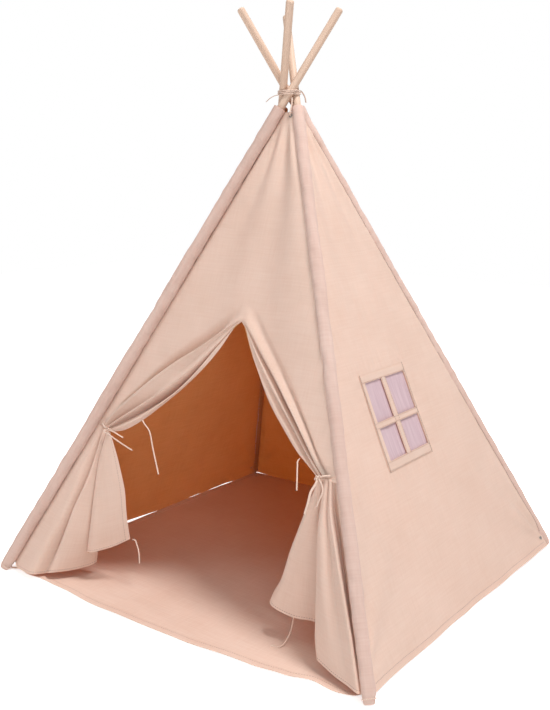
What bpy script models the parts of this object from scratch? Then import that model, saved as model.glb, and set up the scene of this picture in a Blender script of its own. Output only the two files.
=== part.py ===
# Kids' play teepee: four crossed wooden poles, a cloth cover with sleeves, a tied back door,
# a window, a floor sheet and the tapes and cords that hold them together.
# The door faces -Y, the window +X. The origin is on the floor, in the middle of the stand.
import math

import bmesh
import bpy
from mathutils import Matrix, Vector

# Stand: poles that lean together and cross in a swirl
base_side = 1.2
crossing_height = 1.394
pole_length = 1.89
pole_diameter = 0.022
crossed_clearance = 0.0004
pole_tip_round = 0.007
pole_foot_round = 0.0015
pole_turn_degrees = {"front_left": -1.94, "front_right": 3.78, "back_right": -1.08, "back_left": -0.76}
pole_quarter = {"back_right": 0, "back_left": 1, "front_left": 2, "front_right": 3}

# Joint sleeve between the two halves of a pole
pole_split_share = 0.5
ferrule_length = 0.12
ferrule_wall = 0.0012

# Clearances
touch_gap = 0.0003
cloth_gap = 0.0005
cut_overrun = 0.002

# Cover
cloth_thickness = 0.0015
sleeve_wall = 0.0015
sleeve_slack = 0.0005
sleeve_top_drop = 0.055
sleeve_foot_gap = 0.003
hem_height = 0.028
wall_top_drop = 0.058

# Door: the slit's peak, the two tie points and the folds drawn to them, in the front wall's plane
door_peak_height = 0.838
door_peak_along = 0.035
tie_height = 0.474
left_tie_along = -0.372
right_tie_along = 0.382
left_crest_bulge = 0.025
left_edge_sag = 0.054
right_crest_bulge = 0.052
right_edge_sag = 0.034
swag_bunch_width = 0.034
swag_fold_depth = 0.011
swag_fold_count = 2
swag_end_gap = 0.016
skirt_end_gap = 0.007
skirt_bunch_share = 0.11

# Window in the right wall
window_width = 0.235
window_height = 0.27
window_along = -0.028
window_bottom_height = 0.44
window_side_band = 0.02
window_top_band = 0.022
window_bottom_band = 0.03
window_upright_width = 0.024
window_cross_width = 0.018
sheer_thickness = 0.0008

# Metal eyelets
eyelet_hole = 0.006
eyelet_width = 0.012
eyelet_height = 0.0032
top_eyelet_along = 0.013
top_eyelet_height = 1.436
foot_eyelet_inset = 0.016
foot_eyelet_height = 0.042

# Floor sheet
sheet_thickness = 0.002
sheet_front_inset = 0.02
sheet_side_inset = 0.03
sheet_corner_cut = 0.045
sheet_edge_wave = 0.004
sheet_edge_waves = 5

# Cords and tapes
lashing_diameter = 0.004
lashing_turns = 2.5
lashing_pitch = 0.0047
lashing_points_per_turn = 24
tape_diameter = 0.005
tail_diameter = 0.003
route_step_diameters = 2.5
knot_width = 0.013
knot_height = 0.0105
knot_depth = 0.0095
tie_loop_width = 0.042
tie_loop_depth = 0.03
left_tie_loop_rise = 0.0048
right_tie_loop_rise = 0.006
tie_loop_points = 24
corner_tie_rise = 0.01
left_knot_degrees = 50.0
right_knot_degrees = 15.0

# Routes of the free tails. Door tails are in the front wall's plane, counted from the tie point along
# the wall, up it and outward, in shares of the tie's height. The first place of each is at the knot.
left_long_tail_shares = [
    (0.016, -0.014, 0.036),
    (0.10, -0.035, 0.06),
    (0.20, -0.062, 0.07),
    (0.31, -0.089, 0.07),
]
left_short_tail_shares = [
    (0.062, -0.006, 0.036),
    (0.11, -0.008, 0.06),
    (0.16, -0.018, 0.066),
    (0.205, -0.03, 0.06),
]
right_long_tail_shares = [
    (-0.012, -0.032, 0.036),
    (-0.024, -0.075, 0.05),
    (-0.022, -0.13, 0.055),
    (-0.03, -0.19, 0.05),
]
right_short_tail_shares = [
    (0.03, -0.026, 0.04),
    (0.045, -0.06, 0.052),
    (0.04, -0.10, 0.055),
    (0.03, -0.14, 0.05),
]
left_closing_shares = [
    (0.0, 0.0, 0.0),
    (0.085, -0.057, 0.01),
    (0.14, -0.14, 0.012),
    (0.236, -0.287, 0.01),
]
right_closing_shares = [
    (0.0, 0.0, 0.0),
    (0.015, -0.042, 0.03),
    (0.032, -0.085, 0.04),
    (0.055, -0.165, 0.045),
]
left_closing_place_share = 0.23
right_closing_place_share = 0.16
# Ribbons at the skirts' hem corners, from the crossing's foot point, in shares of half the stand's side
left_corner_shares = [(-0.36, -0.70, 0.205), (-0.335, -0.712, 0.17), (-0.327, -0.718, 0.126)]
right_corner_shares = [
    (0.542, -0.66, 0.1),
    (0.556, -0.715, 0.035),
    (0.552, -0.765, 0.0095),
    (0.515, -0.785, 0.0072),
]
# The cover's cord from the top eyelet, in shares of the drop from the crossing to the wall's top
cover_cord_shares = [(0.01, 0.2, 0.14), (0.01, 0.5, 0.15), (-0.03, 0.75, 0.17), (-0.06, 0.86, 0.18)]
# Ends of the lashing, in shares of a tail's reach
lashing_tail_reach = 0.04
left_lashing_tail_shares = [(0.15, 0.3, -0.02), (0.45, 0.4, -0.15), (0.8, 0.4, -0.45)]
right_lashing_tail_shares = [(0.1, 0.3, -0.08), (0.3, 0.35, -0.4), (0.4, 0.3, -0.8)]
lashing_start_degrees = 218.0

# How smooth the round pieces are
turned_steps = 20
bore_steps = 16
hem_samples = 44
fan_rows = 7
swag_rows = 14
swag_columns = 20
curve_samples = 24
edge_samples = 36


def clear_scene():
    for old in list(bpy.data.objects):
        bpy.data.objects.remove(old, do_unlink=True)


def new_collection(name):
    made = bpy.data.collections.new(name)
    bpy.context.scene.collection.children.link(made)
    return made


def new_material(name, colour, roughness, metallic=0.0):
    made = bpy.data.materials.new(name)
    made.use_nodes = True
    shader = made.node_tree.nodes["Principled BSDF"]
    shader.inputs["Base Color"].default_value = (*colour, 1.0)
    shader.inputs["Roughness"].default_value = roughness
    shader.inputs["Metallic"].default_value = metallic
    made.diffuse_color = (*colour, 1.0)
    return made


def frame_of(x_axis, y_axis, z_axis, origin):
    made = Matrix((x_axis, y_axis, z_axis)).transposed().to_4x4()
    made.translation = origin
    return made


def put(name, data, material, place=None, pivot=None):
    """Links an object, carried by its pivot and standing at the given world frame."""
    made = bpy.data.objects.new(name, data)
    teepee.objects.link(made)
    data.materials.append(material)
    if pivot is not None:
        made.parent = pivot
        made.matrix_parent_inverse = pivot.matrix_world.inverted()
    made.matrix_basis = place or Matrix.Identity(4)
    return made


def turned(name, profile, closed, steps, material, place, pivot=None):
    """A turned piece round its own Z from (radius, height) points, run down the outer side."""
    mesh = bpy.data.meshes.new(name)
    count = len(profile)
    edges = [(i, i + 1) for i in range(count - 1)]
    if closed:
        edges.append((count - 1, 0))
    mesh.from_pydata([(r, 0.0, z) for r, z in profile], edges, [])
    made = put(name, mesh, material, place, pivot)
    screw = made.modifiers.new("turn", "SCREW")
    screw.steps = steps
    screw.render_steps = steps
    screw.use_merge_vertices = True
    screw.merge_threshold = 0.00005
    return made


def flat_piece(name, loops, thickness, material, place, pivot=None):
    """A flat piece from closed outlines in its own XY plane, holes included, centred on that plane."""
    curve = bpy.data.curves.new(name, "CURVE")
    curve.dimensions = "2D"
    curve.fill_mode = "BOTH"
    curve.extrude = thickness / 2
    for loop in loops:
        spline = curve.splines.new("POLY")
        spline.points.add(len(loop) - 1)
        for point, (x, y) in zip(spline.points, loop):
            point.co = (x, y, 0.0, 1.0)
        spline.use_cyclic_u = True
    return put(name, curve, material, place, pivot)


def tube(name, points, diameter, material, pivot=None, resolution=1):
    """A cord or tape through world points, with flat ends."""
    curve = bpy.data.curves.new(name, "CURVE")
    curve.dimensions = "3D"
    curve.bevel_depth = diameter / 2
    curve.bevel_resolution = resolution
    curve.use_fill_caps = True
    spline = curve.splines.new("POLY")
    spline.points.add(len(points) - 1)
    origin = Vector(points[0])
    for point, at in zip(spline.points, points):
        point.co = (*(Vector(at) - origin), 1.0)
    return put(name, curve, material, Matrix.Translation(origin), pivot)


def free_tail(name, places, diameter, pivot):
    """A free tail along a smooth route through its places, with an even step."""
    length = sum((b - a).length for a, b in zip(places, places[1:]))
    samples = max(8, round(length / (diameter * route_step_diameters)))
    route = smooth_route(places, samples, straight_start=True)
    total = sum((b - a).length for a, b in zip(route, route[1:]))
    print(f"{name}: {total * 1000:.0f} mm long")
    return tube(name, route, diameter, cord_cloth, pivot, resolution=2)


def cloth_surface(name, rows, material, origin, pivot=None):
    """A closed cloth from a grid of world points, thickened evenly to both sides."""
    mesh = bpy.data.meshes.new(name)
    width = len(rows[0])
    points = [tuple(point - origin) for row in rows for point in row]
    faces = [
        (i * width + j, i * width + j + 1, (i + 1) * width + j + 1, (i + 1) * width + j)
        for i in range(len(rows) - 1)
        for j in range(width - 1)
    ]
    mesh.from_pydata(points, [], faces)
    made = put(name, mesh, material, Matrix.Translation(origin), pivot)
    shell = made.modifiers.new("thickness", "SOLIDIFY")
    shell.thickness = cloth_thickness
    shell.offset = 0.0
    shell.use_even_offset = False
    return made


def smooth_route(points, samples, straight_start=False):
    """Evenly spaced points on a smooth curve through the route's own points."""
    places = [Vector(p) for p in points]
    steps = [(b - a).length for a, b in zip(places, places[1:])]
    ways = [(b - a) / step for a, b, step in zip(places, places[1:], steps)]
    bends = [
        (ways[i - 1] * steps[i] + ways[i] * steps[i - 1]) / (steps[i - 1] + steps[i])
        for i in range(1, len(steps))
    ]
    bends = [ways[0]] + bends + [ways[-1]]
    dense = []
    for i, step in enumerate(steps):
        if straight_start and i == 0:
            continue
        for k in range(curve_samples):
            f = k / curve_samples
            start, end = places[i], places[i + 1]
            lead_in, lead_out = bends[i] * step, bends[i + 1] * step
            dense.append(
                start * (2 * f**3 - 3 * f**2 + 1)
                + lead_in * (f**3 - 2 * f**2 + f)
                + end * (3 * f**2 - 2 * f**3)
                + lead_out * (f**3 - f**2)
            )
    dense.append(places[-1])
    run = [0.0]
    for here, there in zip(dense, dense[1:]):
        run.append(run[-1] + (there - here).length)
    route, j = [], 0
    for k in range(samples):
        wanted = run[-1] * k / (samples - 1)
        while j < len(run) - 2 and run[j + 1] < wanted:
            j += 1
        share = (wanted - run[j]) / (run[j + 1] - run[j])
        route.append(dense[j].lerp(dense[j + 1], min(share, 1.0)))
    return [places[0]] + route if straight_start else route


def circle(centre_x, centre_y, radius, steps):
    angles = [2 * math.pi * k / steps for k in range(steps)]
    return [(centre_x + radius * math.cos(a), centre_y + radius * math.sin(a)) for a in angles]


def rectangle(left, bottom, right, top):
    return [(left, bottom), (right, bottom), (right, top), (left, top)]


# Poles: direction, crossing point and foot of each axis


def pole_azimuth(name):
    return math.radians(45 + 90 * pole_quarter[name] + pole_turn_degrees[name])


def pole_axis(name, swirl):
    """The direction up a pole, its point at the crossing height, and its sideways direction."""
    azimuth = pole_azimuth(name)
    inward = Vector((-math.cos(azimuth), -math.sin(azimuth), 0.0))
    side = -Vector((0.0, 0.0, 1.0)).cross(inward)
    up = inward * math.sin(lean) + Vector((0.0, 0.0, math.cos(lean)))
    return up, side * swirl + Vector((0.0, 0.0, crossing_height)), side


def line_distance(first, second):
    across = first[0].cross(second[0])
    return abs((second[1] - first[1]).dot(across)) / across.length


def swirl_distance():
    """How far each axis passes from the middle, so that neighbouring poles just clear each other."""
    axes = [pole_axis(name, 1.0) for name in sorted(pole_quarter, key=pole_quarter.get)]
    least_share = min(line_distance(axes[i], axes[(i + 1) % len(axes)]) for i in range(len(axes)))
    return (pole_diameter + crossed_clearance) / least_share


foot_radius = base_side / math.sqrt(2)
lean = math.atan(foot_radius / crossing_height)
swirl = swirl_distance()
pole_radius = pole_diameter / 2
crossing_to_floor = crossing_height / math.cos(lean)
pole_bottom = (pole_radius * math.sin(lean) - crossing_height) / math.cos(lean)
pole_top = pole_bottom + pole_length
ferrule_bore = pole_radius + touch_gap
ferrule_radius = ferrule_bore + ferrule_wall
sleeve_bore = ferrule_radius + sleeve_slack
sleeve_radius = sleeve_bore + sleeve_wall
sleeve_bottom = pole_bottom + sleeve_foot_gap
sleeve_top = -sleeve_top_drop

clear_scene()
teepee = new_collection("kids_teepee")

pine = new_material("pine", (0.72, 0.50, 0.30), 0.55)
steel = new_material("steel", (0.55, 0.53, 0.50), 0.35, 1.0)
canvas = new_material("canvas", (0.78, 0.58, 0.46), 0.9)
canvas_dark = new_material("canvas_sleeve", (0.66, 0.47, 0.37), 0.9)
sheer = new_material("sheer_mesh", (0.62, 0.46, 0.50), 0.8)
floor_cloth = new_material("floor_cloth", (0.72, 0.48, 0.35), 0.9)
cord_cloth = new_material("cotton_cord", (0.80, 0.64, 0.52), 0.85)

poles = {}
for name in pole_quarter:
    up, crossing, side = pole_axis(name, swirl)
    foot = crossing - up * crossing_to_floor
    poles[name] = {"up": up, "crossing": crossing, "side": side, "foot": foot}

# The crossing moves sideways so that the feet stand evenly round the origin
reach = [p["foot"] for p in poles.values()]
middle = Vector(
    (
        (max(f.x for f in reach) + min(f.x for f in reach)) / 2,
        (max(f.y for f in reach) + min(f.y for f in reach)) / 2,
        0.0,
    )
)
for pole in poles.values():
    pole["foot"] = pole["foot"] - middle
    pole["crossing"] = pole["crossing"] - middle
crossing_middle = Vector((0.0, 0.0, crossing_height)) - middle

lashing_pivot = bpy.data.objects.new("crossing_pivot", None)
lashing_pivot.location = crossing_middle
teepee.objects.link(lashing_pivot)
for name, pole in poles.items():
    pole["frame"] = frame_of(pole["side"], pole["up"].cross(pole["side"]), pole["up"], pole["crossing"])
    pole["pivot"] = bpy.data.objects.new(name + "_pivot", None)
    pole["pivot"].matrix_world = pole["frame"]
    teepee.objects.link(pole["pivot"])
bpy.context.view_layer.update()


def along_pole(pole, height):
    """The pole's frame moved up its own axis, counted from the crossing."""
    return pole["frame"] @ Matrix.Translation((0.0, 0.0, height))


def make_pole(name, pole):
    split = pole_bottom + pole_length * pole_split_share
    lower = [
        (0.0, split - touch_gap / 2),
        (pole_radius, split - touch_gap / 2),
        (pole_radius, pole_bottom + pole_foot_round),
        (pole_radius - pole_foot_round, pole_bottom),
        (0.0, pole_bottom),
    ]
    tip = [
        (
            pole_radius - pole_tip_round * (1 - math.sin(a)),
            pole_top - pole_tip_round * (1 - math.cos(a)),
        )
        for a in (math.radians(18 * k) for k in range(6))
    ]
    upper = [(0.0, pole_top)] + tip + [(pole_radius, split + touch_gap / 2), (0.0, split + touch_gap / 2)]
    turned("pole_lower_" + name, lower, False, turned_steps, pine, pole["frame"], pole["pivot"])
    turned("pole_upper_" + name, upper, False, turned_steps, pine, pole["frame"], pole["pivot"])
    half = ferrule_length / 2
    ring = [(ferrule_radius, half), (ferrule_radius, -half), (ferrule_bore, -half), (ferrule_bore, half)]
    turned("pole_ferrule_" + name, ring, True, turned_steps, steel, along_pole(pole, split), pole["pivot"])


# Walls: each lies in the plane midway between its two poles' axes


def wall_between(left, right):
    """The frame of the wall from one pole to the next: along, up the slope and outward."""
    a, b = poles[left], poles[right]
    outward = b["up"].cross(a["up"]).normalized()
    if outward.dot((a["foot"] + b["foot"]) / 2) < 0:
        outward.negate()
    along = Vector((0.0, 0.0, 1.0)).cross(outward).normalized()
    upward = outward.cross(along)
    level = outward.dot(a["crossing"] + b["crossing"]) / 2
    origin = (a["foot"] + b["foot"]) / 2
    origin -= outward * (outward.dot(origin) - level)
    origin -= upward * (origin.z / upward.z)
    ends = {}
    for name, inward_sign in ((left, 1.0), (right, -1.0)):
        pole = poles[name]
        start = pole["foot"] - origin
        ends[name] = {
            "foot": Vector((start.dot(along), start.dot(upward))),
            "slope": Vector((pole["up"].dot(along), pole["up"].dot(upward))),
            "sign": inward_sign,
            "off": outward.dot(pole["crossing"]) - level,
        }
    return {
        "along": along,
        "up": upward,
        "out": outward,
        "origin": origin,
        "ends": ends,
        "frame": frame_of(along, upward, outward, origin),
    }


walls = {
    "front": wall_between("front_left", "front_right"),
    "right": wall_between("front_right", "back_right"),
    "back": wall_between("back_right", "back_left"),
    "left": wall_between("back_left", "front_left"),
}


def setback(wall_name, pole_name):
    """How far the wall's cloth starts from the pole's axis, measured in the wall's plane."""
    off = max(abs(walls[wall_name]["ends"][pole_name]["off"]) - cloth_thickness / 2, 0.0)
    return math.sqrt(max(sleeve_radius**2 - off**2, 0.0)) + cloth_gap


def edge_at(wall_name, pole_name, height):
    """Where the wall's cloth starts beside a pole, along the wall, at a height up its slope."""
    end = walls[wall_name]["ends"][pole_name]
    axis = end["foot"].x + (height - end["foot"].y) * end["slope"].x / end["slope"].y
    return axis + end["sign"] * setback(wall_name, pole_name) / end["slope"].y


def slope_height(wall_name, pole_name, from_crossing):
    """The height up the wall's slope of a point on a pole's axis, counted from the crossing."""
    wall, pole = walls[wall_name], poles[pole_name]
    return (pole["crossing"] + pole["up"] * from_crossing - wall["origin"]).dot(wall["up"])


def on_wall(wall_name, along, height, out=0.0):
    wall = walls[wall_name]
    return wall["origin"] + wall["along"] * along + wall["up"] * height + wall["out"] * out


def wall_corners(wall_name, left, right):
    top = min(slope_height(wall_name, name, -wall_top_drop) for name in (left, right))
    return [
        (edge_at(wall_name, left, hem_height), hem_height),
        (edge_at(wall_name, right, hem_height), hem_height),
        (edge_at(wall_name, right, top), top),
        (edge_at(wall_name, left, top), top),
    ]


def make_sleeve(name, pole):
    outer = circle(0.0, 0.0, sleeve_radius, turned_steps)
    bore = circle(0.0, 0.0, sleeve_bore, turned_steps)
    length = sleeve_top - sleeve_bottom
    place = along_pole(pole, (sleeve_top + sleeve_bottom) / 2)
    flat_piece("sleeve_" + name, [outer, bore], length, canvas_dark, place, pole["pivot"])


def make_eyelet(name, wall_name, along, height, pivot):
    radius, hole = eyelet_width / 2, eyelet_hole / 2
    half, barrel = eyelet_height / 2, hole - touch_gap
    lip = cloth_thickness / 2 + touch_gap
    bore = barrel - eyelet_height / 3
    crown = radius - half / 2
    ring = [(bore, half), (crown, half), (radius, lip), (barrel, lip)]
    ring += [(barrel, -lip), (radius, -lip), (crown, -half), (bore, -half)]
    place = walls[wall_name]["frame"] @ Matrix.Translation((along, height, 0.0))
    turned(name, ring, True, bore_steps, steel, place, pivot)


def foot_eyelet_at(wall_name, pole_name):
    sign = walls[wall_name]["ends"][pole_name]["sign"]
    return edge_at(wall_name, pole_name, foot_eyelet_height) + sign * foot_eyelet_inset


def side_wall(name, wall_name, left, right, holes, pivot):
    loops = [wall_corners(wall_name, left, right)]
    for pole_name in (left, right):
        if wall_name in foot_eyelet_walls[pole_name]:
            at = foot_eyelet_at(wall_name, pole_name)
            loops.append(circle(at, foot_eyelet_height, eyelet_hole / 2, bore_steps))
    flat_piece(name, loops + holes, cloth_thickness, canvas, walls[wall_name]["frame"], pivot)


foot_eyelet_walls = {"front_left": "left", "back_left": "left", "front_right": "right", "back_right": "right"}

# Window: a hole in the wall, a sewn frame with crossed bars outside it and one sheer piece inside it
window_left = window_along - window_width / 2
window_right = window_along + window_width / 2
window_top = window_bottom_height + window_height
pane_left = window_left + window_side_band
pane_right = window_right - window_side_band
pane_bottom = window_bottom_height + window_bottom_band
pane_top = window_top - window_top_band
bar_x = (pane_left + pane_right) / 2
bar_y = (pane_bottom + pane_top) / 2


def make_window(pivot):
    frame = walls["right"]["frame"]
    outside = Matrix.Translation((0.0, 0.0, cloth_thickness + touch_gap))
    inside = Matrix.Translation((0.0, 0.0, -(cloth_thickness + sheer_thickness) / 2 - touch_gap))
    loops = [rectangle(window_left, window_bottom_height, window_right, window_top)]
    halves = ((pane_left, bar_x - window_upright_width / 2), (bar_x + window_upright_width / 2, pane_right))
    levels = ((pane_bottom, bar_y - window_cross_width / 2), (bar_y + window_cross_width / 2, pane_top))
    for x0, x1 in halves:
        for y0, y1 in levels:
            loops.append(rectangle(x0, y0, x1, y1))
    flat_piece("window_frame", loops, cloth_thickness, canvas, frame @ outside, pivot)
    edge = rectangle(window_left, window_bottom_height, window_right, window_top)
    flat_piece("window_sheer", [edge], sheer_thickness, sheer, frame @ inside, pivot)


# Door: crest and free edge of the folds that run from each tie point to the slit's peak

doors = {
    "left": {"tie": left_tie_along, "crest": left_crest_bulge, "sag": left_edge_sag, "side": 1.0},
    "right": {"tie": right_tie_along, "crest": right_crest_bulge, "sag": right_edge_sag, "side": -1.0},
}


def swag_point(door, share, across):
    """A point in the front wall's plane: share runs from tie to peak, across from crest to free edge."""
    tie = Vector((door["tie"], tie_height))
    peak = Vector((door_peak_along, door_peak_height))
    bow = 4 * share * (1 - share)
    bunch = swag_bunch_width * (0.5 - across) * (1 - share) ** 2
    offset = (door["crest"] * (1 - across) - door["sag"] * across) * bow + bunch
    return tie.lerp(peak, share) + swag_normal(door) * offset


def swag_shares(door):
    """The shares from tie to peak where a swag and the panel above it have their points."""
    run = math.hypot(door_peak_along - door["tie"], door_peak_height - tie_height)
    first = swag_end_gap / run
    last = 1 - 1 / (2 * swag_rows)
    return [first + (last - first) * i / swag_rows for i in range(swag_rows + 1)]


def swag_normal(door):
    run = Vector((door_peak_along - door["tie"], door_peak_height - tie_height)).normalized()
    return Vector((-run.y, run.x)) * door["side"]


def make_front_panel(pivot):
    top = min(slope_height("front", name, -wall_top_drop) for name in ("front_left", "front_right"))
    crests = {}
    for side, door in doors.items():
        line = [swag_point(door, s, 0.0) + swag_normal(door) * cloth_gap for s in swag_shares(door)]
        crests[side] = [(p.x, p.y) for p in line]
    peak = (door_peak_along, door_peak_height + cloth_thickness * 2)
    left_corner = (edge_at("front", "front_left", crests["left"][0][1]), crests["left"][0][1])
    right_corner = (edge_at("front", "front_right", crests["right"][0][1]), crests["right"][0][1])
    outline = [left_corner] + crests["left"] + [peak] + crests["right"][::-1] + [right_corner]
    outline += [(edge_at("front", "front_right", top), top), (edge_at("front", "front_left", top), top)]
    hole = circle(top_eyelet_along, top_eyelet_height, eyelet_hole / 2, bore_steps)
    flat_piece("front_panel", [outline, hole], cloth_thickness, canvas, walls["front"]["frame"], pivot)


def make_swag(name, door, pivot):
    rows = []
    for share in swag_shares(door):
        depth = swag_fold_depth * min(1.0, 3 * (1 - share))
        row = []
        for j in range(swag_columns + 1):
            across = j / swag_columns
            flat = swag_point(door, share, across)
            wave = depth * math.sin(2 * math.pi * swag_fold_count * across) * math.sin(math.pi * across)
            row.append(on_wall("front", flat.x, flat.y, wave))
        rows.append(row)
    tie = on_wall("front", door["tie"], tie_height)
    cloth_surface(name, rows, canvas, tie, pivot)


# Skirts: below each tie the cloth fans out to its hem. The hem's places are shares of half the
# stand's side, sideways and to the back, and of the tie's height.
left_hem_shares = [
    (-0.962, -0.955, 0.045),
    (-0.885, -0.985, 0.035),
    (-0.800, -0.930, 0.040),
    (-0.745, -0.880, 0.055),
    (-0.680, -0.790, 0.070),
    (-0.640, -0.738, 0.090),
    (-0.618, -0.762, 0.130),
    (-0.600, -0.812, 0.175),
    (-0.560, -0.795, 0.205),
    (-0.480, -0.740, 0.255),
    (-0.400, -0.692, 0.300),
]
right_hem_shares = [
    (0.995, -0.938, 0.045),
    (0.950, -0.868, 0.050),
    (0.920, -0.905, 0.045),
    (0.860, -0.890, 0.050),
    (0.775, -0.838, 0.075),
    (0.765, -0.770, 0.110),
    (0.735, -0.690, 0.140),
    (0.660, -0.672, 0.165),
    (0.560, -0.690, 0.200),
    (0.470, -0.700, 0.235),
    (0.462, -0.660, 0.240),
    (0.520, -0.640, 0.225),
]


def make_skirt(name, shares, pole_name, door):
    """Returns the pivot on the sleeve's seam, and the free corner with the hem's direction there."""
    half = base_side / 2
    tie_level = on_wall("front", 0.0, tie_height).z
    places = [Vector((x * half, y * half, z * tie_level)) - middle for x, y, z in shares]
    hem = smooth_route(places, hem_samples)
    up = poles[pole_name]["up"]
    centre = on_wall("front", door["tie"], tie_height - skirt_end_gap)
    seam = on_wall("front", edge_at("front", pole_name, tie_height - skirt_end_gap), tie_height - skirt_end_gap)
    seam += up * (centre - seam).dot(up)
    seam_foot = on_wall("front", edge_at("front", pole_name, hem_height), hem_height)
    hem_middle = sum(hem, Vector()) / len(hem)
    hinge = (seam - seam_foot).normalized() * -door["side"]
    across = hinge.cross(walls["front"]["out"]).normalized()
    pivot = bpy.data.objects.new(name + "_pivot", None)
    pivot.parent = poles[pole_name]["pivot"]
    pivot.matrix_parent_inverse = poles[pole_name]["pivot"].matrix_world.inverted()
    pivot.matrix_basis = frame_of(across, hinge.cross(across), hinge, seam)
    teepee.objects.link(pivot)
    bpy.context.view_layer.update()
    rows = []
    for i in range(fan_rows + 1):
        drop = i / fan_rows
        row = []
        for k, low in enumerate(hem):
            along = k / (len(hem) - 1)
            spread = (low - hem_middle) * skirt_bunch_share
            spread -= up * spread.dot(up)
            top = centre + spread
            sewn = max(0.0, 1 - along * 8)
            top = top.lerp(seam, sewn)
            end = low.lerp(seam_foot, sewn)
            row.append(top.lerp(end, drop))
        rows.append(row)
    cloth_surface(name, rows, canvas, seam, pivot)
    return pivot, (rows[-1][-1], (rows[-1][-1] - rows[-1][-2]).normalized())


# Floor sheet: a square sheet with slightly wavy hems, its corners drawn in beside the poles' feet


def make_floor_sheet():
    """Returns the middles of the sheet's cut corners."""
    corners = {name: poles[name]["foot"] for name in poles}
    order = ["front_left", "front_right", "back_right", "back_left"]
    inset = {
        "front_left": (sheet_side_inset, sheet_front_inset),
        "front_right": (-sheet_side_inset, sheet_front_inset),
        "back_right": (-sheet_side_inset, -sheet_front_inset),
        "back_left": (sheet_side_inset, -sheet_front_inset),
    }
    outline = []
    cut_points = {name: [] for name in order}
    for i, name in enumerate(order):
        start = corners[name] + Vector((*inset[name], 0.0))
        last = order[(i + 1) % len(order)]
        end = corners[last] + Vector((*inset[last], 0.0))
        run = (end - start).normalized()
        inward = Vector((-run.y, run.x, 0.0))
        start += run * sheet_corner_cut
        end -= run * sheet_corner_cut
        cut_points[name].append(start)
        cut_points[last].append(end)
        for k in range(edge_samples // 4 + 1):
            share = k / (edge_samples // 4)
            wave = sheet_edge_wave * (1 - math.cos(2 * math.pi * sheet_edge_waves * share / 2)) / 2
            point = start.lerp(end, share) + inward * wave
            outline.append((point.x, point.y))
    place = Matrix.Translation((0.0, 0.0, sheet_thickness / 2))
    flat_piece("floor_sheet", [outline], sheet_thickness, floor_cloth, place)
    return {name: sum(ends, Vector()) / len(ends) for name, ends in cut_points.items()}


# Lashing: one cord wound round the four crossed poles


def bundle_reach(angle, height):
    """The distance from the middle to the poles' common outline, square to a direction."""
    facing = Vector((math.cos(angle), math.sin(angle), 0.0))
    across = pole_radius / math.cos(lean)
    reaches = []
    for pole in poles.values():
        inward = Vector((pole["up"].x, pole["up"].y, 0.0)).normalized()
        centre = pole["crossing"] - crossing_middle + inward * math.tan(lean) * height
        spread = math.hypot(across * facing.dot(inward), pole_radius * facing.dot(pole["side"]))
        reaches.append(centre.dot(facing) + spread)
    return max(reaches)


def lashing_route():
    route = []
    total = round(lashing_turns * lashing_points_per_turn)
    step = 2 * math.pi / lashing_points_per_turn
    clear = lashing_diameter / 2 + touch_gap
    for k in range(total + 1):
        angle = lashing_start_angle + k * step
        height = lashing_pitch * (k / lashing_points_per_turn - lashing_turns / 2)
        reach_here = max(bundle_reach(angle, h) for h in (height - clear, height + clear)) + clear
        ahead = max(bundle_reach(angle + step / 8, h) for h in (height - clear, height + clear)) + clear
        turn = (ahead - reach_here) / (step / 8)
        facing = Vector((math.cos(angle), math.sin(angle), 0.0))
        across = Vector((-math.sin(angle), math.cos(angle), 0.0))
        route.append(crossing_middle + facing * reach_here + across * turn + Vector((0.0, 0.0, height)))
    return route


def least_gap_to_itself(route, diameter, skip):
    gaps = [
        (route[i] - route[j]).length - diameter
        for i in range(len(route))
        for j in range(i + skip, len(route))
    ]
    return min(gaps)


lashing_start_angle = math.radians(lashing_start_degrees)


def tie_frame(door, pole_name):
    """The middle of the gathered door cloth at its tie: sideways from the pole, outward, up the pole."""
    pole_up = poles[pole_name]["up"]
    along = walls["front"]["along"] * door["side"]
    sideways = (along - pole_up * along.dot(pole_up)).normalized()
    outward = sideways.cross(pole_up).normalized()
    if outward.dot(walls["front"]["out"]) < 0:
        outward.negate()
    rise = left_tie_loop_rise if door["side"] > 0 else right_tie_loop_rise
    neck = on_wall("front", door["tie"], tie_height) + pole_up * rise
    return neck, sideways, outward, pole_up


def make_tie(side, door, pole_name, knot_degrees, pivot):
    """A tape round the gathered cloth, open where its knot sits, and the knot."""
    neck, sideways, outward, pole_up = tie_frame(door, pole_name)

    def place(angle):
        return (
            neck
            + sideways * (tie_loop_width / 2 * math.sin(angle))
            + outward * (tie_loop_depth / 2 * math.cos(angle))
        )

    middle_angle = math.radians(knot_degrees)
    knot = place(middle_angle)
    spare = knot_width / 2 + touch_gap
    opening = math.radians(5)
    while min((place(middle_angle + s * opening) - knot).length for s in (-1, 1)) < spare:
        opening += math.radians(0.5)
    turn = 2 * (math.pi - opening)
    route = [place(middle_angle + opening + turn * k / tie_loop_points) for k in range(tie_loop_points + 1)]
    tube("tie_band_" + side, route, tape_diameter, cord_cloth, pivot)
    tangent = (place(middle_angle + opening) - place(middle_angle - opening)).normalized()
    across = pole_up.cross(tangent).normalized()
    mesh = bpy.data.meshes.new("tie_knot_" + side)
    shape = bmesh.new()
    bmesh.ops.create_uvsphere(shape, u_segments=12, v_segments=8, radius=0.5)
    bmesh.ops.scale(shape, vec=(knot_width, knot_depth, knot_height), verts=shape.verts)
    shape.to_mesh(mesh)
    shape.free()
    mesh.set_sharp_from_angle(angle=math.radians(60))
    put("tie_knot_" + side, mesh, cord_cloth, frame_of(tangent, across, pole_up, knot), pivot)
    return frame_of(tangent, across, pole_up, knot)


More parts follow.
